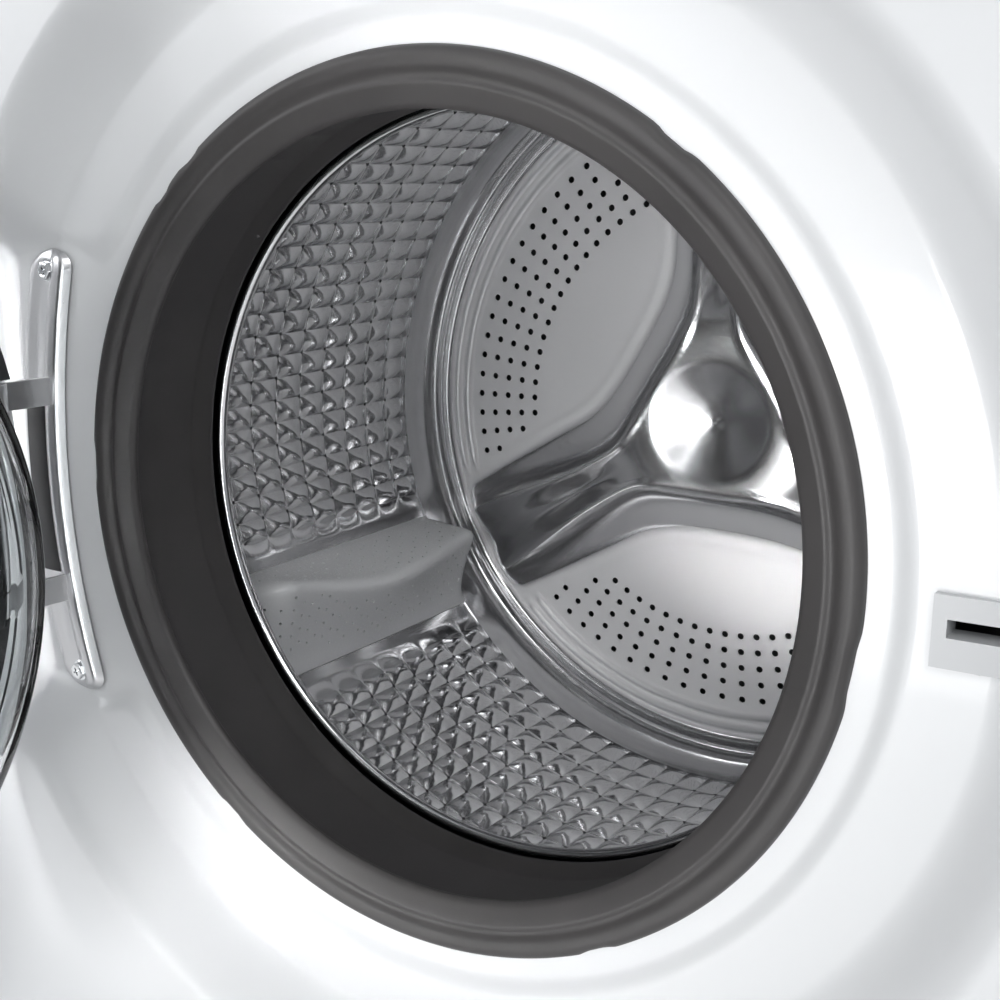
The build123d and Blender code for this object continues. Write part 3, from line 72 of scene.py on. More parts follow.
# ------------------------------------------------------------------ mesh helpers
def add_piece(name, points, faces, body, material, smooth=True):
    """A mesh piece from points in metres, riding on a body if one is named."""
    mesh = bpy.data.meshes.new(name)
    mesh.from_pydata([tuple(p) for p in points], [], [tuple(f) for f in faces])
    mesh.validate()
    mesh.update()
    if smooth:
        mesh.shade_smooth()
    piece = bpy.data.objects.new(name, mesh)
    bpy.context.scene.collection.objects.link(piece)
    mesh.materials.append(material)
    if body:
        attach(piece, body)
    return piece


def face_outwards(piece):
    """Point every face of a closed piece outwards."""
    edit = bmesh.new()
    edit.from_mesh(piece.data)
    bmesh.ops.recalc_face_normals(edit, faces=edit.faces)
    edit.to_mesh(piece.data)
    edit.free()
    return piece


def grid_faces(rows, columns, close_rows=False, close_columns=False):
    """Quads of a rows x columns grid of points numbered row by row."""
    faces = []
    for i in range(rows if close_rows else rows - 1):
        for j in range(columns if close_columns else columns - 1):
            i2, j2 = (i + 1) % rows, (j + 1) % columns
            faces.append((i * columns + j, i * columns + j2, i2 * columns + j2, i2 * columns + j))
    return faces


def polar(r, degrees, y):
    """Points from radius and angle about the drum axis."""
    a = np.radians(degrees)
    return np.stack([r * np.cos(a), y + 0 * a, AXIS_Z + r * np.sin(a)], -1)


def turned(name, profile, body, material, segments=256, shape=None):
    """A closed profile of (radius, y) points in metres, turned about the drum axis.

    shape(angle, radius, y) may return changed radius and y arrays.
    """
    ring = np.array(profile, float)
    angles = np.arange(segments) * 360 / segments
    r = np.repeat(ring[:, 0][None, :], segments, 0)
    y = np.repeat(ring[:, 1][None, :], segments, 0)
    a = np.repeat(angles[:, None], len(ring), 1)
    if shape:
        r, y = shape(a, r, y)
    points = polar(r, a, y).reshape(-1, 3)
    faces = grid_faces(segments, len(ring), True, True)
    return face_outwards(add_piece(name, points, faces, body, material))


CORNER_STEPS = 3


def bend(start, corner, end, t):
    """A point of the curve that rounds a corner, for t from 0 to 1."""
    return (1 - t) ** 2 * start + 2 * t * (1 - t) * corner + t * t * end


def rounded(points, radius):
    """A closed outline with its corners rounded, as a list of points."""
    pts = [np.array(p, float) for p in points]
    out = []
    for i, p in enumerate(pts):
        a, b = pts[i - 1] - p, pts[(i + 1) % len(pts)] - p
        cut = min(radius, np.linalg.norm(a) * 0.45, np.linalg.norm(b) * 0.45)
        start, end = p + a / np.linalg.norm(a) * cut, p + b / np.linalg.norm(b) * cut
        out += [bend(start, p, end, k / CORNER_STEPS) for k in range(CORNER_STEPS + 1)]
    return out


def thicken(piece, thickness):
    """Give a sheet its thickness, on the side that its faces point to."""
    solid = piece.modifiers.new("sheet", "SOLIDIFY")
    solid.thickness = thickness
    solid.offset = 1
    split = piece.modifiers.new("rims", "EDGE_SPLIT")
    split.split_angle = math.radians(50)


def smoothstep(t):
    """An S-shaped step from 0 to 1."""
    t = np.clip(t, 0, 1)
    return t * t * (3 - 2 * t)


# ------------------------------------------------------------------ materials
def shader(name):
    """A new node material with its principled shader."""
    material = bpy.data.materials.new(name)
    material.use_nodes = True
    return material, material.node_tree.nodes, material.node_tree.links


def surface(name, colour, rough, metallic=0.0, tint=0.04, grain=400, stretch=(1, 1, 1),
            bump=0.05, coat=0.0, rough_spread=0.06, cloud=9):
    """A material whose colour drifts softly and whose roughness and relief follow a fine grain."""
    material, nodes, links = shader(name)
    principled = nodes["Principled BSDF"]
    principled.inputs["Metallic"].default_value = metallic
    principled.inputs["Coat Weight"].default_value = coat
    principled.inputs["Coat Roughness"].default_value = 0.06
    place = nodes.new("ShaderNodeTexCoord")
    drift = nodes.new("ShaderNodeTexNoise")
    drift.inputs["Scale"].default_value = cloud
    drift.inputs["Detail"].default_value = 4
    links.new(place.outputs["Object"], drift.inputs["Vector"])
    ramp = nodes.new("ShaderNodeValToRGB")
    ramp.color_ramp.elements[0].position = 0.3
    ramp.color_ramp.elements[1].position = 0.7
    ramp.color_ramp.elements[0].color = [max(0, c * (1 - tint)) for c in colour] + [1]
    ramp.color_ramp.elements[1].color = [min(1, c * (1 + tint)) for c in colour] + [1]
    links.new(drift.outputs["Fac"], ramp.inputs["Fac"])
    links.new(ramp.outputs["Color"], principled.inputs["Base Color"])
    stretched = nodes.new("ShaderNodeMapping")
    stretched.inputs["Scale"].default_value = stretch
    links.new(place.outputs["Object"], stretched.inputs["Vector"])
    fine = nodes.new("ShaderNodeTexNoise")
    fine.inputs["Scale"].default_value = grain
    fine.inputs["Detail"].default_value = 6
    links.new(stretched.outputs["Vector"], fine.inputs["Vector"])
    spread = nodes.new("ShaderNodeMapRange")
    spread.inputs["To Min"].default_value = max(0.02, rough - rough_spread)
    spread.inputs["To Max"].default_value = rough + rough_spread
    links.new(fine.outputs["Fac"], spread.inputs["Value"])
    links.new(spread.outputs["Result"], principled.inputs["Roughness"])
    relief = nodes.new("ShaderNodeBump")
    relief.inputs["Strength"].default_value = bump
    relief.inputs["Distance"].default_value = 0.0004
    links.new(fine.outputs["Fac"], relief.inputs["Height"])
    links.new(relief.outputs["Normal"], principled.inputs["Normal"])
    return material


def matt_and_painted_light_beyond(material, start_y, end_y, more, pale, metal):
    """Make a metal rougher and duller, and paint a paler colour into it as painted light, smoothly
    from one depth to another.
    """
    nodes, links = material.node_tree.nodes, material.node_tree.links
    rough = nodes["Principled BSDF"].inputs["Roughness"]
    grain = rough.links[0].from_socket
    place = nodes.new("ShaderNodeTexCoord")
    split = nodes.new("ShaderNodeSeparateXYZ")
    links.new(place.outputs["Object"], split.inputs["Vector"])
    depth = nodes.new("ShaderNodeMapRange")
    depth.interpolation_type = "SMOOTHSTEP"
    depth.inputs["From Min"].default_value = start_y
    depth.inputs["From Max"].default_value = end_y
    links.new(split.outputs["Y"], depth.inputs["Value"])
    total = nodes.new("ShaderNodeMath")
    total.operation = "MULTIPLY_ADD"
    links.new(depth.outputs["Result"], total.inputs[0])
    total.inputs[1].default_value = more
    links.new(grain, total.inputs[2])
    links.new(total.outputs["Value"], rough)
    base = nodes["Principled BSDF"].inputs["Base Color"]
    drift = base.links[0].from_socket
    # the paler colour mixed in here is painted light: it brightens the deep parts as if more light
    # fell on them
    painted_light_mix = nodes.new("ShaderNodeMix")
    painted_light_mix.data_type = "RGBA"
    links.new(depth.outputs["Result"], painted_light_mix.inputs["Factor"])
    links.new(drift, painted_light_mix.inputs["A"])
    painted_light_mix.inputs["B"].default_value = (*pale, 1)
    links.new(painted_light_mix.outputs["Result"], base)
    dull = nodes.new("ShaderNodeMath")
    dull.operation = "MULTIPLY_ADD"
    links.new(depth.outputs["Result"], dull.inputs[0])
    dull.inputs[1].default_value = metal - 1
    dull.inputs[2].default_value = 1
    links.new(dull.outputs["Value"], nodes["Principled BSDF"].inputs["Metallic"])


def make_glass():
    """Thick clear door glass with a trace of grey and fine wipe marks in its roughness."""
    material, nodes, links = shader("door_glass_clear")
    principled = nodes["Principled BSDF"]
    principled.inputs["Transmission Weight"].default_value = 1
    principled.inputs["IOR"].default_value = 1.46
    principled.inputs["Specular IOR Level"].default_value = 0.4
    place = nodes.new("ShaderNodeTexCoord")
    wipe = nodes.new("ShaderNodeTexNoise")
    wipe.inputs["Scale"].default_value = 30
    links.new(place.outputs["Object"], wipe.inputs["Vector"])
    spread = nodes.new("ShaderNodeMapRange")
    spread.inputs["To Min"].default_value = 0.0
    spread.inputs["To Max"].default_value = 0.03
    links.new(wipe.outputs["Fac"], spread.inputs["Value"])
    links.new(spread.outputs["Result"], principled.inputs["Roughness"])
    ramp = nodes.new("ShaderNodeValToRGB")
    ramp.color_ramp.elements[0].color = (0.90, 0.93, 0.94, 1)
    ramp.color_ramp.elements[1].color = (0.97, 0.98, 0.98, 1)
    links.new(wipe.outputs["Fac"], ramp.inputs["Fac"])
    links.new(ramp.outputs["Color"], principled.inputs["Base Color"])
    return material


WHITE = surface("white_enamel", (0.78, 0.79, 0.80), 0.32, tint=0.008, grain=260, bump=0.012,
                coat=0.25, rough_spread=0.03, cloud=3)
WHITE_PLASTIC = surface("white_plastic", (0.80, 0.81, 0.82), 0.32, tint=0.01, grain=900, bump=0.03)
LAMINATE = surface("white_laminate", (0.82, 0.82, 0.82), 0.38, tint=0.012, grain=1400, bump=0.05)
RUBBER = surface("dark_rubber", (0.049, 0.046, 0.046), 0.46, tint=0.10, grain=1100, bump=0.10,
                 cloud=25)
STEEL = surface("drum_steel", (0.66, 0.66, 0.67), 0.13, metallic=1, tint=0.03, grain=500,
                stretch=(1, 6, 1), bump=0.012, rough_spread=0.04)
BACK_STEEL = surface("drum_back_steel", (0.62, 0.62, 0.63), 0.18, metallic=1, tint=0.025,
                     grain=420, bump=0.014, rough_spread=0.04)
# the deep perforated petals get a rougher, less metallic finish and a paler colour painted in as
# painted light, so they look brightly lit
matt_and_painted_light_beyond(BACK_STEEL, BACK_Y - 5 * MM, BACK_Y - 1.5 * MM, 0.45, (0.98, 0.98, 0.99), 0.2)
HINGE_STEEL = surface("hinge_steel", (0.66, 0.66, 0.67), 0.30, metallic=1, tint=0.05, grain=260,
                      stretch=(8, 8, 0.6), bump=0.08)
CHROME = surface("chrome_plate", (0.86, 0.87, 0.88), 0.08, metallic=1, tint=0.02, grain=700,
                 bump=0.01, rough_spread=0.03)
GALVANISED = surface("galvanised_steel", (0.58, 0.59, 0.61), 0.36, metallic=1, tint=0.12, grain=90,
                     bump=0.03, cloud=60)
ALUMINIUM = surface("cast_aluminium", (0.62, 0.63, 0.64), 0.45, metallic=1, tint=0.06, grain=500,
                    bump=0.15)
LIFTER_GREY = surface("lifter_plastic", (0.84, 0.85, 0.86), 0.26, tint=0.03, grain=1200, bump=0.03)
TUB_GREY = surface("tub_plastic", (0.12, 0.125, 0.13), 0.5, tint=0.05, grain=600, bump=0.08)
# the lock's bezel is white plastic; its grey colour is painted shade, standing in for the shading
# round the bezel
LOCK_PAINTED_SHADE = surface("lock_painted_shade", (0.56, 0.57, 0.58), 0.34, tint=0.02, grain=900, bump=0.03)
BLACK = surface("black_plastic", (0.016, 0.016, 0.018), 0.35, tint=0.15, grain=900, bump=0.05)
WINDOW = surface("dark_window", (0.01, 0.01, 0.012), 0.10, tint=0.1, grain=300, bump=0.004,
                 rough_spread=0.03)
COVER = surface("door_cover", (0.012, 0.012, 0.014), 0.34, tint=0.1, grain=300, bump=0.004,
                rough_spread=0.04)
CONCRETE = surface("concrete", (0.34, 0.33, 0.31), 0.85, tint=0.18, grain=220, bump=0.5, cloud=50)
BOARD = surface("circuit_board", (0.03, 0.16, 0.07), 0.4, tint=0.15, grain=700, bump=0.06, cloud=80)
GLASS = make_glass()

CAD_LOOKS = {
    WHITE: ("left_side_panel", "right_side_panel"),
    LAMINATE: ("top_panel",),
    LOCK_PAINTED_SHADE: ("lock_bezel",),
    WHITE_PLASTIC: ("control_panel", "plinth", "dispenser_housing", "inlet_valve",
                    "door_outer_ring", "detergent_drawer", "drawer_front", "programme_knob",
                    "start_button", "filter_flap"),
    GALVANISED: ("rear_panel", "base_frame", "side_rails", "motor_housing", "damper_rods",
                 "motor_rotor"),
    HINGE_STEEL: ("door_hinge_barrel", "door_hook", "drum_shaft", "drum_bearings"),
    CHROME: ("heater",),
    BLACK: ("door_lock", "mains_filter", "door_inner_frame", "foot_front_left", "foot_front_right",
            "foot_rear_left", "foot_rear_right"),
    WINDOW: ("display_window",),
    COVER: ("door_window_cover",),
    TUB_GREY: ("tub_front", "tub_rear", "drain_pump", "damper_cylinders", "drain_hose",
               "pump_filter"),
    RUBBER: ("drive_belt",),
    CONCRETE: ("front_counterweight", "top_counterweight"),
    ALUMINIUM: ("spider", "drum_pulley"),
    BOARD: ("control_board",),
}


def dress_cad_nodes():
    """Give every carried-over CAD node its material."""
    for material, names in CAD_LOOKS.items():
        for name in names:
            mesh = NODES[name].data
            mesh.materials.clear()
            mesh.materials.append(material)


# ------------------------------------------------------------------ front panel
RECESS_DEPTH = FLOOR_Y - FRONT_Y
STEP_R = 213 * MM                               # low step round the gasket
WALL_R = 262 * MM                               # middle of the recess's sloping wall
POCKET_MID_X = -232 * MM
POCKET_HALF = (44 * MM, 126 * MM)
PANEL_INNER_R = 194 * MM
PANEL_OUTER_R = 292 * MM                        # the last round row of faces


def join_distance(a, b, k):
    """Smooth union of two signed distances."""
    h = np.clip(0.5 + 0.5 * (b - a) / k, 0, 1)
    return b * (1 - h) + a * h - k * h * (1 - h)


def pocket_distance(x, z, grow):
    """Signed distance to the rounded pocket that holds the hinge plate."""
    corner = 24 * MM
    dx = np.abs(x - POCKET_MID_X) - (POCKET_HALF[0] + grow - corner)
    dz = np.abs(z) - (POCKET_HALF[1] + grow - corner)
    outside = np.hypot(np.maximum(dx, 0), np.maximum(dz, 0))
    return outside + np.minimum(np.maximum(dx, dz), 0) - corner


def recess_y(x, z):
    """Depth of the front sheet at a point, seen from the front, about the drum axis."""
    r = np.hypot(x, z)
    step = join_distance(r - STEP_R, pocket_distance(x, z, 0), 30 * MM)
    wall = join_distance(r - WALL_R, pocket_distance(x, z, 4 * MM), 24 * MM)
    low = -4.5 * MM * smoothstep((step + 4 * MM) / (9 * MM))
    slope = np.clip((step - 5 * MM) / (40 * MM), 0, 1) * -1.5 * MM
    rise = smoothstep((wall + 18 * MM) / (36 * MM))
    y = (low + slope) * (1 - rise) - RECESS_DEPTH * rise
    return FLOOR_Y + np.where(wall > 18 * MM, -RECESS_DEPTH, y)


def in_lock_hole(p):
    """Whether a face of the front sheet lies behind the lock's bezel."""
    inset = 0.5 * MM
    across = LOCK_LO.x + inset < p[0] < LOCK_HI.x - inset
    return across and LOCK_LO.z + inset < p[2] < LOCK_HI.z - inset


def make_front_panel():
    """The white front sheet with its round recess, hinge pocket and folded edges."""
    half_w = PANEL_HI.x
    low_z, high_z = PANEL_LO.z - AXIS_Z, PANEL_HI.z - AXIS_Z
    angles = np.radians(np.arange(480) * 0.75)
    c, s = np.cos(angles), np.sin(angles)
    with np.errstate(divide="ignore"):
        edge = np.minimum(half_w / np.abs(c), np.where(s > 0, high_z, -low_z) / np.abs(s))
    rings = [np.minimum(edge, r) for r in np.linspace(PANEL_INNER_R, PANEL_OUTER_R, 72)]
    points = []
    for reach in rings + [edge]:
        x, z = reach * c, reach * s
        y = recess_y(x, z)
        points.append(np.stack([x, y, AXIS_Z + z], -1))
    fold = points[-1].copy()
    for back in (1.0, 15.0):
        folded = fold.copy()
        folded[:, 1] = FRONT_Y + back * MM
        points.append(folded)
    grid = np.array(points)
    faces = grid_faces(len(grid), len(angles), False, True)
    faces = [f for f in faces if not in_lock_hole(grid.reshape(-1, 3)[list(f)].mean(0))]
    sheet = add_piece("front_sheet", grid.reshape(-1, 3), faces, "cabinet", WHITE)
    thicken(sheet, 1.1 * MM)
    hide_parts("front_panel")


# ------------------------------------------------------------------ gasket
def make_gasket():
    """The rubber door seal, with moulded notches round its rim and vents inside its top."""
    outline = [
        (200, 7), (200.2, 0), (199.4, -3), (196.5, -4.2), (192, -3.6), (189.2, -1.6),
        (187.6, -1.2), (185.5, -1.9), (181, 0.2), (177, 2.2), (175.4, 4.4), (175.8, 6.6),
        (178.5, 8.2), (184, 9.5), (187, 13), (187.8, 20), (188.4, 58), (186.4, 63),
        (184.2, 68.6), (184.4, 71), (186, 71.6), (188, 69), (191.6, 64), (191.7, 50),
        (195.8, 50), (195.8, 61.5), (200, 60), (200, 46), (192.5, 40), (191.6, 12),
        (193.6, 8), (200, 7.6),
    ]
    profile = rounded([(r * MM, FLOOR_Y + y * MM) for r, y in outline], 1.6 * MM)

    def notches(a, r, y):
        front = smoothstep((FLOOR_Y + 4 * MM - y) / (4 * MM))
        front = front * smoothstep((r - 195 * MM) / (3 * MM))
        for middle, width in ((-8, 5), (52, 3), (126, 2.2), (133, 2.2), (177, 4), (236, 3), (300, 3)):
            near = smoothstep(1.6 - np.abs(a - middle % 360) / width * 1.6)
            r = r - 1.1 * MM * near * front
        inside = smoothstep((y - FLOOR_Y - 14 * MM) / (2 * MM))
        inside = inside * smoothstep((FLOOR_Y + 30 * MM - y) / (2 * MM))
        for middle in (112, 118):
            near = np.abs(a - middle) < 2.2
            r = r + 1.4 * MM * near * inside * (r < 190 * MM)
        return r, y

    seal = turned("door_gasket", profile, None, RUBBER, 384, notches)
    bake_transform(seal)
    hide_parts("gasket")


# ------------------------------------------------------------------ drum wall
CELL_DEG = 3.5
CELLS = 27
ROWS = 10
STRIP_DEG = 120 - CELLS * CELL_DEG              # plain strip under each lifter
STRIP_STEPS = 10
PILLOW_H = 3.4 * MM
HOLE_HALF = 1.25 * MM
HOLE_ROUNDING = 0.3                             # how far a hole's corners are drawn in


def cell_samples(half, steps):
    """Places across one cell from -1 to 1, with the first and last at the edge of the corner holes."""
    inner = 1 - HOLE_HALF / half
    return np.concatenate([[-1], np.linspace(-inner, inner, steps - 1), [1]])


def pillow(u, v):
    """Height of one embossed pillow over its cell, 0 at the corners and 1 at its top."""
    blunt, sharpness = 0.015, 0.62
    pyramid = 1 - np.sqrt(np.maximum(np.abs(u), np.abs(v)) ** 2 + blunt)
    dome = 1 - (u**2 + v**2) / 2
    return sharpness * pyramid / (1 - math.sqrt(blunt)) + (1 - sharpness) * dome


def make_drum_wall():
    """The drum's shell, embossed with pillows that have a drain hole at each corner."""
    pitch = (DRUM_REAR_Y - SHELL_LO.y) / ROWS
    half_u = DRUM_R * math.radians(CELL_DEG) / 2
    us, vs = cell_samples(half_u, 6), cell_samples(pitch / 2, 8)
    angles, across_u = [], []
    for sector in SECTORS:
        start = sector + STRIP_DEG / 2
        for cell in range(CELLS):
            for u in us[:-1]:
                angles.append(start + (cell + (u + 1) / 2) * CELL_DEG)
                across_u.append(None if cell == 0 and u == -1 else u)
        end = start + CELLS * CELL_DEG
        for k in range(STRIP_STEPS):
            angles.append(end + k * STRIP_DEG / STRIP_STEPS)
            across_u.append(None)
    along, across_v = [], []
    for row in range(ROWS):
        for v in vs[:-1]:
            along.append(SHELL_LO.y + (row + (v + 1) / 2) * pitch)
            across_v.append(v)
    along.append(DRUM_REAR_Y)
    across_v.append(-1.0)
    n, m = len(angles), len(along)
    a = np.repeat(np.array(angles)[:, None], m, 1)
    y = np.repeat(np.array(along)[None, :], n, 0)
    plain = np.array([u is None for u in across_u])
    u = np.repeat(np.array([0 if w is None else w for w in across_u])[:, None], m, 1)
    v = np.repeat(np.array(across_v)[None, :], n, 0)
    height = np.where(plain[:, None], 0, pillow(u, v)) * PILLOW_H
    drop = set()
    columns = len(us) - 1
    for s in range(3):
        base = s * (CELLS * columns + STRIP_STEPS)
        for cell in range(1, CELLS):
            for row in range(ROWS + 1):
                i0, j0 = base + cell * columns, row * (len(vs) - 1)
                for di in (-1, 0):
                    for dj in (-1, 0):
                        if 0 <= j0 + dj < m - 1:
                            drop.add(((i0 + di) % n, j0 + dj))
                for di in (-1, 1):
                    for dj in (-1, 1):
                        i, j = (i0 + di) % n, j0 + dj
                        if 0 <= j < m:
                            a[i, j] -= di * HOLE_ROUNDING * math.degrees(HOLE_HALF / DRUM_R)
                            y[i, j] -= dj * HOLE_ROUNDING * HOLE_HALF
    points = polar(DRUM_R - height, a, y).reshape(-1, 3)
    faces = [f for f in grid_faces(n, m, True, False) if (f[0] // m, f[0] % m) not in drop]
    wall = add_piece("drum_wall", points, faces, "drum", STEEL)
    thicken(wall, 0.6 * MM)
    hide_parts("drum_shell")


def make_drum_mouth():
    """The drum's front ring with its rolled mouth."""
    bead_r = 3.2 * MM
    middle = (MOUTH_R + bead_r, MOUTH_Y + 1 * MM)
    arc = [
        (middle[0] + bead_r * math.cos(t), middle[1] + bead_r * math.sin(t))
        for t in np.radians(np.arange(60, -250, -20))
    ]
    plate = [(DRUM_R - 6 * MM, MOUTH_Y + 10 * MM), (DRUM_R - 0.2 * MM, MOUTH_Y + 16 * MM),
             (DRUM_R - 0.2 * MM, MOUTH_Y + 25 * MM), (DRUM_R - 1 * MM, MOUTH_Y + 25 * MM),
             (DRUM_R - 1 * MM, MOUTH_Y + 17 * MM), (DRUM_R - 7 * MM, MOUTH_Y + 11 * MM)]
    ring = turned("drum_mouth_ring", arc[::-1] + plate, "drum", STEEL, 320)
    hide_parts("drum_front")


# ------------------------------------------------------------------ drum back
HOLE_PITCH = 4.2
HOLE_ROWS = ((196.1, 10), (184.8, 10), (173.5, 9), (162.2, 9), (151.0, 8))  # radius, last column
ROW_STEP = 11.28 * MM
BACK_HOLE_R = 2.25 * MM
CELL_STEPS = 4
PETAL_COLUMNS = 21
PETAL_HALF = PETAL_COLUMNS / 2 * HOLE_PITCH
STAR_HEIGHT = 45 * MM
PETAL_EDGE = 50 * MM
BOWL_START, BOWL_WIDE = 234, 9                  # curved rim of the drum back, in mm


def star_distance(r, degrees):
    """Distance from the centre lines of the star's three arms, blended where arms meet."""
    x, z = r * np.cos(np.radians(degrees)), r * np.sin(np.radians(degrees))
    total = None
    for arm in SECTORS:
        c, s = math.cos(math.radians(arm)), math.sin(math.radians(arm))
        along = np.maximum(x * c + z * s, 0)
        d = np.hypot(x - along * c, z - along * s)
        total = d if total is None else join_distance(total, d, 68 * MM)
    return total


def from_petal_middle(degrees):
    """Angle from the middle of the nearest petal."""
    return (degrees - 30 + 60) % 120 - 60


def ridge(distance, half_width):
    """A rounded ridge over its centre line."""
    t = np.clip(np.abs(distance) / half_width, 0, 1)
    return (1 + np.cos(np.pi * t)) / 2


def back_height(r, degrees):
    """How far the drum back stands forward of its perforated face."""
    mm = r / MM
    d = star_distance(r, degrees)
    crest = (13 + 12 * smoothstep((mm - 90) / 130)) * MM
    climb = smoothstep((PETAL_EDGE - d) / (PETAL_EDGE - crest))
    fall = np.clip((mm - 40) / 185, 0, 1)
    top = STAR_HEIGHT - 36 * MM * fall
    star = top * climb
    star = star - 7 * MM * smoothstep((mm - 62) / 60) * smoothstep((crest - d) / crest)
    star = star + 1.1 * MM * ridge(d - crest, 4 * MM) * smoothstep((mm - 40) / 20)
    star = star - 12 * MM * (1 - smoothstep(mm / 68))
    star = star * smoothstep((224 - mm) / 14)
    lip = 1.0 * MM * ridge(d - PETAL_EDGE - 2.5 * MM, 3.5 * MM) * (mm < 204)
    phi = np.abs(from_petal_middle(degrees))
    rib_end = smoothstep((46.5 - phi) / 2.5)
    ribs = 3 * MM * (ridge(mm - 208, 4.2) + ridge(mm - 217, 4.2)) * rib_end
    rim = 5 * MM * smoothstep((mm - 221) / 4)
    rim = rim - 1.6 * MM * ridge(mm - 228.6, 1.6)
    rim = rim + 5 * MM * smoothstep((mm - 229.5) / 3)
    rim = rim - 1.2 * MM * ridge(mm - 234.4, 1.2)
    bowl = np.clip((mm - BOWL_START) / BOWL_WIDE, 0, 1)
    rim = rim + 25 * MM * (1 - np.sqrt(np.clip(1 - bowl**2, 0, 1)))
    return star + lip + ribs + rim


def make_drum_back():
    """The drum's back: three perforated petals between the arms of a raised star."""
    petal_steps, arm_steps = PETAL_COLUMNS * CELL_STEPS, 30
    arm_deg = 120 - 2 * PETAL_HALF
    angles = []
    for petal in PETALS:
        angles += list(petal - PETAL_HALF + np.arange(petal_steps) * HOLE_PITCH / CELL_STEPS)
        angles += list(petal + PETAL_HALF + np.arange(arm_steps) * arm_deg / arm_steps)
    zone_lo = HOLE_ROWS[-1][0] * MM - ROW_STEP / 2
    zone = zone_lo + np.arange(len(HOLE_ROWS) * CELL_STEPS + 1) * ROW_STEP / CELL_STEPS
    flat_rim = np.arange(zone[-1] / MM + 0.9, BOWL_START, 0.9)
    bowl_rim = BOWL_START + BOWL_WIDE * np.sin(np.linspace(0.1, np.pi / 2, 12))
    middle = np.linspace(3 * MM, zone_lo, 52)[:-1]
    radii = np.concatenate([middle, zone, flat_rim * MM, bowl_rim * MM])
    n, m = len(angles), len(radii)
    a = np.repeat(np.array(angles)[:, None], m, 1)
    r = np.repeat(radii[None, :], n, 0)
    points = list(polar(r, a, BACK_Y - back_height(r, a)).reshape(-1, 3))
    drop = set()
    extra = []
    first = len(middle)
    per_sector = petal_steps + arm_steps
    for sector in range(3):
        for row, (row_r, last) in enumerate(reversed(HOLE_ROWS)):
            for k in range(-last, last + 1):
                i0 = sector * per_sector + (k + PETAL_COLUMNS // 2) * CELL_STEPS
                j0 = first + row * CELL_STEPS
                place = (PETALS[sector] + k * HOLE_PITCH, row_r * MM)
                extra += punch(points, drop, i0, j0, m, n, *place)
    faces = [f for f in grid_faces(n, m, True, False) if f[0] not in drop]
    centre = len(points)
    points.append(np.array([0, BACK_Y - back_height(np.array(0.0), np.array(0.0)), AXIS_Z]))
    faces += [(centre, ((i + 1) % n) * m, i * m) for i in range(n)]
    back = add_piece("drum_back_plate", points, faces + extra, "drum", BACK_STEEL)
    thicken(back, 0.8 * MM)
    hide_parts("drum_back")


def punch(points, drop, i0, j0, m, n, degrees, radius):
    """Replace one cell of the grid by faces round a hole, and return those faces."""
    border = [(i0 + k, j0) for k in range(CELL_STEPS)]
    border += [(i0 + CELL_STEPS, j0 + k) for k in range(CELL_STEPS)]
    border += [(i0 + CELL_STEPS - k, j0 + CELL_STEPS) for k in range(CELL_STEPS)]
    border += [(i0, j0 + CELL_STEPS - k) for k in range(CELL_STEPS)]
    outer = [(i % n) * m + j for i, j in border]
    for di in range(CELL_STEPS):
        for dj in range(CELL_STEPS):
            drop.add(((i0 + di) % n) * m + j0 + dj)
    middle = polar(np.array(radius), np.array(degrees), BACK_Y)
    first = len(points)
    for index in outer:
        away = points[index] - middle
        away[1] = 0
        points.append(middle + away / np.linalg.norm(away) * BACK_HOLE_R)
    count = len(outer)
    return [
        (outer[k], first + k, first + (k + 1) % count, outer[(k + 1) % count]) for k in range(count)
    ]


# ------------------------------------------------------------------ lifters
LIFTER_HALF = 8.2                               # half a lifter's width, in degrees
LIFTER_HOLE_R = 1.0 * MM
LIFTER_H = 45 * MM
LIFTER_FRONT = MOUTH_Y + 30 * MM


def lifter_crest(s):
    """Where the crest runs across the lifter, from -1 to 1, along its length."""
    return -0.62 + 0.75 * smoothstep(s / 0.55) - 0.38 * smoothstep((s - 0.55) / 0.45)


def make_lifters():
    """Three plastic paddles with a wandering crest and a field of small drain holes."""
    rows, columns = 65, 29
    s = np.repeat(np.linspace(0, 1, rows)[:, None], columns, 1)
    t = np.repeat(np.linspace(-1, 1, columns)[None, :], rows, 0)
    crest = lifter_crest(s)
    side = np.where(t < crest, (t + 1) / (crest + 1), (1 - t) / (1 - crest))
    profile = np.where(t < crest, side**0.85, side**1.25)
    blunt = 1 - np.sqrt((1 - profile) ** 2 + 0.01) + 0.01
    ends = smoothstep(s / 0.16 + 0.12) * smoothstep((1 - s) / 0.05 + 0.25)
    height = LIFTER_H * blunt * ends * (0.9 + 0.1 * s) + 0.4 * MM
    height = np.where((np.abs(t) > 0.999) | (s < 1e-6) | (s > 1 - 1e-6), 0.1 * MM, height)
    y = LIFTER_FRONT + s * (DRUM_REAR_Y - LIFTER_FRONT)
    for number, sector in enumerate(SECTORS, start=1):
        degrees = sector + t * LIFTER_HALF
        points = list(polar(DRUM_R - 0.3 * MM - height, degrees, y).reshape(-1, 3))
        faces = []
        for face in grid_faces(rows, columns):
            i, j = face[0] // columns, face[0] % columns
            high = height[i, j] > 7 * MM and height[i + 1, j + 1] > 7 * MM
            clear = abs(t[i, j] - crest[i, j]) > 0.14
            if high and clear and i % 2 == 0 and (j + i // 2 % 2) % 3 == 0:
                faces += drill(points, face, LIFTER_HOLE_R)
            else:
                faces.append(face)
        paddle = add_piece(f"drum_lifter_{number}", points, faces, "drum", LIFTER_GREY)
        thicken(paddle, 1.8 * MM)
        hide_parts(f"lifter_{number}")


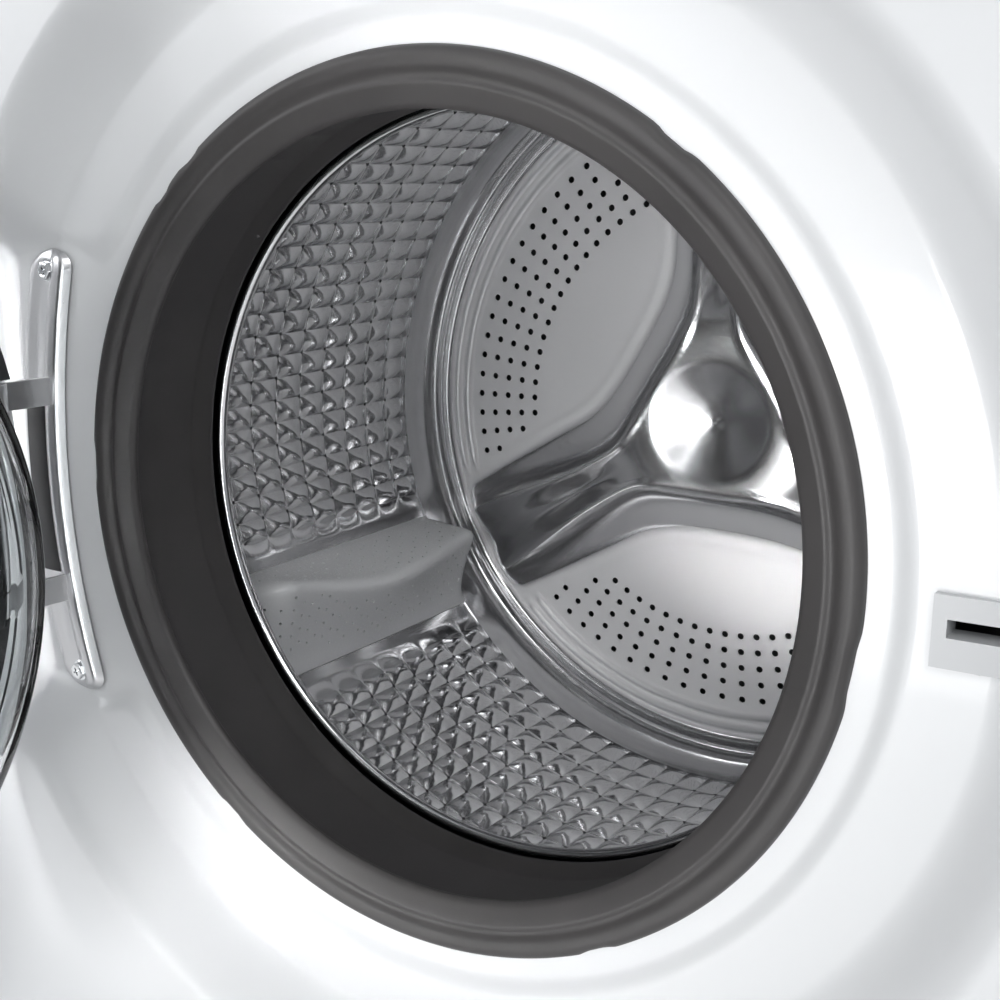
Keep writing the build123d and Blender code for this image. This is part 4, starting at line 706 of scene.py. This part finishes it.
def drill(points, face, radius):
    """Faces round an eight-sided hole in the middle of a quad."""
    corners = [points[k] for k in face]
    middle = sum(corners) / 4
    along = corners[1] - corners[0]
    up = corners[3] - corners[0]
    along = along / np.linalg.norm(along)
    up = up - along * np.dot(up, along)
    up = up / np.linalg.norm(up)
    first = len(points)
    for k in range(8):
        angle = math.radians(45 * k - 112.5)
        points.append(middle + radius * (math.cos(angle) * along + math.sin(angle) * up))
    made = []
    for k in range(4):
        a, b = face[k], face[(k + 1) % 4]
        p, q, w = first + 2 * k, first + 2 * k + 1, first + (2 * k + 2) % 8
        made += [(a, b, q, p), (b, w, q)]
    return made


# ------------------------------------------------------------------ solid shapes
def prism(name, outline, lift, depth, body, material, bevel=0.4 * MM):
    """An outline of 2-D points lifted into space and given depth, with its edges rounded.

    lift(point, d) gives the place in space of an outline point at depth d.
    """
    count = len(outline)
    points = [lift(p, 0) for p in outline] + [lift(p, depth) for p in outline]
    faces = [tuple(range(count)), tuple(range(2 * count - 1, count - 1, -1))]
    faces += [(k, k + count, (k + 1) % count + count, (k + 1) % count) for k in range(count)]
    piece = face_outwards(add_piece(name, points, faces, body, material))
    edge = piece.modifiers.new("edge", "BEVEL")
    edge.width = bevel
    edge.segments = 3
    edge.limit_method = "ANGLE"
    edge.harden_normals = True
    return piece


def on_level(z):
    """Lifts (x, y) points to a level plane at height z above the axis, deeper upwards."""
    return lambda p, d: (p[0], p[1], AXIS_Z + z + d)


def rings_along(points, radius, sides):
    """Rings of points round a path, as an array of path points x sides x 3."""
    path = np.array(points, float)
    along = np.gradient(path, axis=0)
    along /= np.linalg.norm(along, axis=1)[:, None]
    side = np.cross(along[0], (0, 1, 0) if abs(along[0][1]) < 0.9 else (1, 0, 0))
    rings = []
    for p, t in zip(path, along):
        side = side - t * np.dot(side, t)
        side /= np.linalg.norm(side)
        up = np.cross(t, side)
        turn = np.arange(sides) * 2 * np.pi / sides
        rings.append(p + radius * (np.cos(turn)[:, None] * side + np.sin(turn)[:, None] * up))
    return np.array(rings)


# ------------------------------------------------------------------ hinge on the cabinet
PLATE_HALF = 120 * MM
PLATE_SWING = 19 * MM                           # how far the plate's ends curve to the right
PLATE_T = 2.5 * MM
STRAP_Z = (47 * MM, -61.5 * MM)
STRAP_H = 15 * MM
HINGE_X = -230 * MM
HINGE_Y = FRONT_Y - 4 * MM
SCREW_X = -224 * MM
SCREW_Z = 110 * MM


def make_hinge_plate():
    """The bent plate with rounded ends and a raised rib along its right side."""
    rows, columns = 161, 33
    t = np.repeat(np.linspace(-1, 1, rows)[:, None], columns, 1)
    u = np.repeat(np.linspace(0, 1, columns)[None, :], rows, 0)
    left, right = -255 * MM + PLATE_SWING * t**2, -223 * MM + PLATE_SWING * t**2
    end = np.sqrt(np.clip(1 - (np.clip(np.abs(t) - 0.91, 0, 1) / 0.09) ** 2, 0.0004, 1))
    x = (left + right) / 2 + (right - left) / 2 * end * (2 * u - 1)
    edge = np.minimum(np.minimum(u, 1 - u) * 30 * end, (1 - np.abs(t)) * 120)
    rib = 2.4 * MM * smoothstep((u - 0.52) / 0.2) * smoothstep((1.06 - u) / 0.2)
    hollow = 1.0 * MM * ridge(u - 0.30, 0.28) * (1 - t**4)
    lift = (1.4 * MM + rib * end - hollow) * np.sqrt(np.clip(edge / 4, 0.02, 1))
    y = FLOOR_Y - 0.9 * MM - lift
    points = np.stack([x, y, AXIS_Z + PLATE_HALF * t], -1).reshape(-1, 3)
    plate = add_piece("hinge_plate", points, grid_faces(rows, columns), "cabinet", HINGE_STEEL)
    thicken(plate, 0.85 * MM)
    return plate


def make_hinge_painted_shade():
    """A black sheet between the plate's straps, as painted shade and painted reflection: it stands in
    for the shadow and the dark reflection of the open door on the plate.
    """
    z = np.linspace(STRAP_Z[1] + STRAP_H / 2, STRAP_Z[0] - STRAP_H / 2, 49)
    t = z / PLATE_HALF
    left, right = -252 * MM + PLATE_SWING * t**2, -233 * MM + PLATE_SWING * t**2
    u = np.linspace(0, 1, 9)
    x = left[:, None] + (right - left)[:, None] * u
    y = FLOOR_Y - 2.6 * MM - 0.5 * MM * np.sin(np.pi * u)[None, :] + 0 * x
    points = np.stack([x, y, AXIS_Z + z[:, None] + 0 * x], -1).reshape(-1, 3)
    painted_shade = add_piece("hinge_painted_shade", points, grid_faces(len(z), len(u)), "cabinet", BLACK)
    thicken(painted_shade, 0.8 * MM)


def make_hinge():
    """The hinge plate, its two bent straps, the pin and the two screws."""
    plate = make_hinge_plate()
    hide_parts("hinge_bracket")
    front = FLOOR_Y - 1.5 * MM
    root = (-229 * MM, -226.6 * MM)
    going = [(root[0], front), (root[0], front - 8 * MM), (HINGE_X - 1.2 * MM, HINGE_Y + 12 * MM)]
    eye = [
        (HINGE_X + 7.5 * MM * math.cos(t), HINGE_Y + 7.5 * MM * math.sin(t))
        for t in np.radians(np.linspace(99, 441, 40))
    ]
    coming = [(HINGE_X + 1.2 * MM, HINGE_Y + 12 * MM), (root[1], front - 8 * MM), (root[1], front)]
    for word, z in zip(("upper", "lower"), STRAP_Z):
        strap = prism(f"hinge_strap_{word}", going + eye + coming, on_level(z - STRAP_H / 2),
                      STRAP_H, "cabinet", HINGE_STEEL, 0.6 * MM)
        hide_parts("hinge_bracket")
    pin_round = [(HINGE_X + 3 * MM * math.cos(t), HINGE_Y + 3 * MM * math.sin(t))
                 for t in np.radians(np.arange(0, 360, 12))]
    low = STRAP_Z[1] - STRAP_H / 2
    pin = prism("hinge_pin", pin_round, on_level(low), STRAP_Z[0] + STRAP_H / 2 - low,
                "cabinet", CHROME)
    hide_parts("hinge_bracket")
    make_hinge_painted_shade()
    for word, z in (("upper", SCREW_Z), ("lower", -SCREW_Z)):
        make_screw(f"hinge_screw_{word}", SCREW_X, z, FLOOR_Y - PLATE_T)


def make_screw(name, x, z, seat_y):
    """A screw head with a round flange, six sides and a cross recess."""
    heights = (0, 0.9, 1.25, 1.3, 3.3, 3.9, 4.0, 3.9)
    widths = (6.0, 6.0, 5.4, 4.9, 4.7, 4.2, 3.4, 2.6)
    hexed = (0, 0, 0, 1, 1, 0.8, 0.3, 0)
    sides = 48
    turn = np.arange(sides) * 2 * np.pi / sides

    def ring(r, h):
        y = seat_y - h * MM + 0 * turn
        return np.stack([x + r * np.cos(turn), y, AXIS_Z + z + r * np.sin(turn)], -1)

    flat = np.cos(np.pi / 6) / np.cos((turn + 0.2) % (np.pi / 3) - np.pi / 6)
    rings = [ring(w * MM * (1 + six * (flat - 1)), h) for h, w, six in zip(heights, widths, hexed)]
    cross = np.minimum(np.abs(np.sin(turn - 0.4)), np.abs(np.cos(turn - 0.4)))
    arm = np.minimum(0.5 / np.maximum(cross, 0.05), 2.4) * MM
    rings += [ring(np.maximum(arm * k, 0.5 * MM), h) for h, k in ((3.9, 1.0), (2.2, 0.7))]
    shank = [ring(3 * MM, h) for h in (0, -14)]
    faces = grid_faces(len(rings), sides, False, True)
    first = len(rings) * sides
    faces.append(tuple(range(first - sides, first)))
    faces += [(first + k, first + sides + k, first + sides + (k + 1) % sides, first + (k + 1) % sides)
              for k in range(sides)]
    faces.append(tuple(range(first + sides, first + 2 * sides))[::-1])
    faces += [(k, first + k, first + (k + 1) % sides, (k + 1) % sides) for k in range(sides)]
    points = np.array(rings + shank).reshape(-1, 3)
    head = add_piece(name, points, faces, "cabinet", CHROME, smooth=False)
    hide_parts("hinge_screws")


# ------------------------------------------------------------------ door
DOOR_OPEN = math.radians(86)
OPENING = (Matrix.Translation((HINGE_X, HINGE_Y, 0)) @ Matrix.Rotation(-DOOR_OPEN, 4, "Z")
           @ Matrix.Translation((-HINGE_X, -HINGE_Y, 0)))


def open_door(piece):
    """Turn a piece made in the shut door's place to where the door stands open."""
    piece.data.transform(OPENING)
    piece.data.update()


def make_door_glass():
    """The pressed glass bowl with its flange."""
    outline = [
        (0.02, 84), (100, 84), (137, 83), (149, 79), (154, 70), (161, 48), (166, 20), (168, -6),
        (168, -28), (171, -30), (184, -30), (186, -31), (186, -35), (184, -36), (166, -36),
        (162.5, -32), (162, -6), (160, 20), (155, 47), (148, 69), (144, 75), (135, 78),
        (100, 78), (0.02, 78),
    ]
    profile = rounded([(r * MM, FLOOR_Y + y * MM) for r, y in outline], 4 * MM)
    glass = turned("door_glass_bowl", profile, None, GLASS, 256)
    open_door(glass)
    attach(glass, "door")
    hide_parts("door_glass")


# ------------------------------------------------------------------ springs that carry the tub
RAIL_Z, EAR_Z = 800 * MM, 620 * MM
COIL_R = 11 * MM
COIL_TURNS, TURN_STEPS = 26, 16
HOOK_LONG = 22 * MM
WIRE_SIDES = 8


def make_springs():
    """Four wound springs with hooks, from the rails to the ears of the tub."""
    low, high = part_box("suspension_springs")
    places = [(x, y) for x in (low.x + COIL_R, high.x - COIL_R)
              for y in (low.y + COIL_R, high.y - COIL_R)]
    steps = COIL_TURNS * TURN_STEPS
    for number, (x, y) in enumerate(places, start=1):
        points = [(x, y, RAIL_Z + 5 * MM), (x, y, RAIL_Z - 4 * MM), (x, y, RAIL_Z - 12 * MM)]
        for k in range(steps + 1):
            angle = 2 * math.pi * k / TURN_STEPS
            z = RAIL_Z - HOOK_LONG - (RAIL_Z - EAR_Z - 2 * HOOK_LONG) * k / steps
            r = 8.6 * MM * min(1, k / 10, (steps - k) / 10)
            points.append((x + r * math.cos(angle), y + r * math.sin(angle), z))
        points += [(x, y, EAR_Z + 12 * MM), (x, y, EAR_Z + 2 * MM), (x, y, EAR_Z - 10 * MM)]
        rings = rings_along(points, 1.7 * MM, WIRE_SIDES)
        faces = grid_faces(len(rings), WIRE_SIDES, False, True)
        last = (len(rings) - 1) * WIRE_SIDES
        faces += [tuple(range(WIRE_SIDES))[::-1], tuple(range(last, last + WIRE_SIDES))]
        coil = add_piece(f"suspension_spring_{number}", rings.reshape(-1, 3), faces, None, GALVANISED)
        face_outwards(coil)
        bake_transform(coil)
        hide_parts("suspension_springs")


# ------------------------------------------------------------------ hoses from the tub
HOSE_SIDES = 32


def tube_along(name, path, radii, bore):
    """A rubber hose of changing outside radius along a path, open at both ends."""
    middle = np.array(path, float)[:, None, :]
    away = rings_along(path, 1.0, HOSE_SIDES) - middle
    outer = middle + away * np.array(radii)[:, None, None]
    inner = middle + away * bore
    points = np.concatenate([outer, inner[::-1]]).reshape(-1, 3)
    faces = grid_faces(2 * len(path), HOSE_SIDES, True, True)
    return face_outwards(add_piece(name, points, faces, None, RUBBER))


def make_bellows():
    """The folded hose between the dispenser and the tub."""
    low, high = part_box("dispenser_hose")
    x, y = (low.x + high.x) / 2, (low.y + high.y) / 2
    folds, steps = 4, 81
    wave = (np.linspace(0, folds, steps) + 0.5) * 2 * np.pi
    radii = 19 * MM - 2 * MM * np.cos(wave - np.pi)
    path = [(x, y, z) for z in np.linspace(low.z, high.z, steps)]
    hose = tube_along("dispenser_bellows", path, radii, 14 * MM)
    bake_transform(hose)
    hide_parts("dispenser_hose")


def bent_path(corners, radius, step):
    """Points along straight runs joined by rounded corners."""
    pts = [np.array(c, float) for c in corners]
    rough = [pts[0]]
    for before, corner, after in zip(pts, pts[1:], pts[2:]):
        a, b = before - corner, after - corner
        a, b = a / np.linalg.norm(a), b / np.linalg.norm(b)
        half = math.acos(np.clip(np.dot(a, b), -1, 1)) / 2
        cut = radius / math.tan(half)
        rough += [bend(corner + a * cut, corner, corner + b * cut, k / 12) for k in range(13)]
    rough = np.array(rough + [pts[-1]])
    run = np.concatenate([[0], np.cumsum(np.linalg.norm(np.diff(rough, axis=0), axis=1))])
    places = np.linspace(0, run[-1], int(run[-1] / step))
    return np.stack([np.interp(places, run, rough[:, k]) for k in range(3)], -1)


def make_sump_hose():
    """The ribbed hose from the bottom of the tub to the drain pump."""
    low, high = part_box("sump_hose")
    sump = (low.x + 20 * MM, high.y - 20 * MM)
    pump_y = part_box("drain_pump")[0].y + 66 * MM
    level = 60 * MM
    corners = [
        (*sump, high.z), (*sump, high.z - 40 * MM), (sump[0], sump[1] - 100 * MM, level),
        (sump[0], pump_y, level), (high.x, pump_y, level),
    ]
    path = bent_path(corners, 24 * MM, 2 * MM)
    steps_per_rib = 6
    ribs = np.arange(len(path)) * 2 * np.pi / steps_per_rib
    hose = tube_along("sump_hose_ribbed", path, 18.6 * MM + 1.2 * MM * np.cos(ribs), 15 * MM)
    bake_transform(hose)
    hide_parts("sump_hose")


# ------------------------------------------------------------------ stage
def lamp(name, place, look_at, width, height, power, colour=(1, 1, 1), spread=180):
    """A rectangular soft light aimed at a point: sizes in metres, power in watts."""
    data = bpy.data.lights.new(name, "AREA")
    data.shape = "RECTANGLE"
    data.size, data.size_y = width, height
    data.energy = power
    data.spread = math.radians(spread)
    data.color = colour
    light = bpy.data.objects.new(name, data)
    bpy.context.scene.collection.objects.link(light)
    light.location = place
    light.rotation_mode = "QUATERNION"
    light.rotation_quaternion = (Vector(look_at) - Vector(place)).to_track_quat("-Z", "Y")


def make_stage():
    """Pale floor, soft lights and an even pale surround."""
    far = 30
    corners = [(-far, -far, 0), (far, -far, 0), (far, far, 0), (-far, far, 0)]
    mesh = bpy.data.meshes.new("floor")
    mesh.from_pydata(corners, [], [(0, 1, 2, 3)])
    mesh.materials.append(surface("stage_floor", (0.80, 0.80, 0.80), 0.55, tint=0.01, grain=30,
                                  bump=0.01))
    floor = bpy.data.objects.new("floor", mesh)
    bpy.context.scene.collection.objects.link(floor)
    world = bpy.data.worlds.new("surround")
    bpy.context.scene.world = world
    world.use_nodes = True
    sky = world.node_tree.nodes["Background"]
    sky.inputs["Color"].default_value = (0.90, 0.93, 0.97, 1)
    sky.inputs["Strength"].default_value = 0.36
    lamp("key", (1.3, -2.3, 2.3), (0, 0, AXIS_Z), 1.3, 1.3, 26)
    lamp("fill_left", (-2.5, -2.1, 1.6), (0, 0, AXIS_Z), 1.2, 1.6, 25, (0.97, 0.98, 1.0))
    lamp("into_drum", (0.30, -1.9, 0.75), (0, 0.1, AXIS_Z), 0.22, 0.45, 2.6)
    lamp("low_front", (-0.03, -1.1, 0.27), (-0.02, 0.1, AXIS_Z + 0.02), 0.16, 0.34, 1.6)
    lamp("petal_beam", (-0.24, -1.1, 0.30), (-0.03, 0.1, AXIS_Z + 0.06), 0.30, 0.30, 0.68,
         spread=26)
    lamp("top", (0.2, 0.3, 3.2), (0, 0, 0.5), 2.4, 2.4, 50)
    lamp("behind", (1.6, 3.0, 1.8), (0, 0, AXIS_Z), 1.8, 1.8, 60)


CAMERA_AT = (0.3327, -0.7080, 0.5612)
CAMERA_YAW, CAMERA_PITCH, CAMERA_ROLL = 37.92, -14.40, -1.463
CAMERA_LENS = 47.3
CAMERA_SHIFT = (0.1335, 0.047)


def make_camera():
    """The camera, looking down into the open drum from the right."""
    data = bpy.data.cameras.new("camera")
    data.lens = CAMERA_LENS
    data.sensor_width = 36
    data.shift_x, data.shift_y = CAMERA_SHIFT
    data.clip_start, data.clip_end = 0.02, 60
    camera = bpy.data.objects.new("camera", data)
    bpy.context.scene.collection.objects.link(camera)
    turn = Matrix.Rotation(math.radians(CAMERA_YAW), 4, "Z")
    turn = turn @ Matrix.Rotation(math.radians(90 + CAMERA_PITCH), 4, "X")
    turn = turn @ Matrix.Rotation(math.radians(CAMERA_ROLL), 4, "Z")
    camera.matrix_world = Matrix.Translation(CAMERA_AT) @ turn
    bpy.context.scene.camera = camera


dress_cad_nodes()
make_front_panel()
make_gasket()
make_drum_wall()
make_drum_mouth()
make_drum_back()
make_lifters()
make_hinge()
make_door_glass()
make_springs()
make_bellows()
make_sump_hose()
make_stage()
make_camera()
bpy.context.scene.view_settings.view_transform = "Standard"
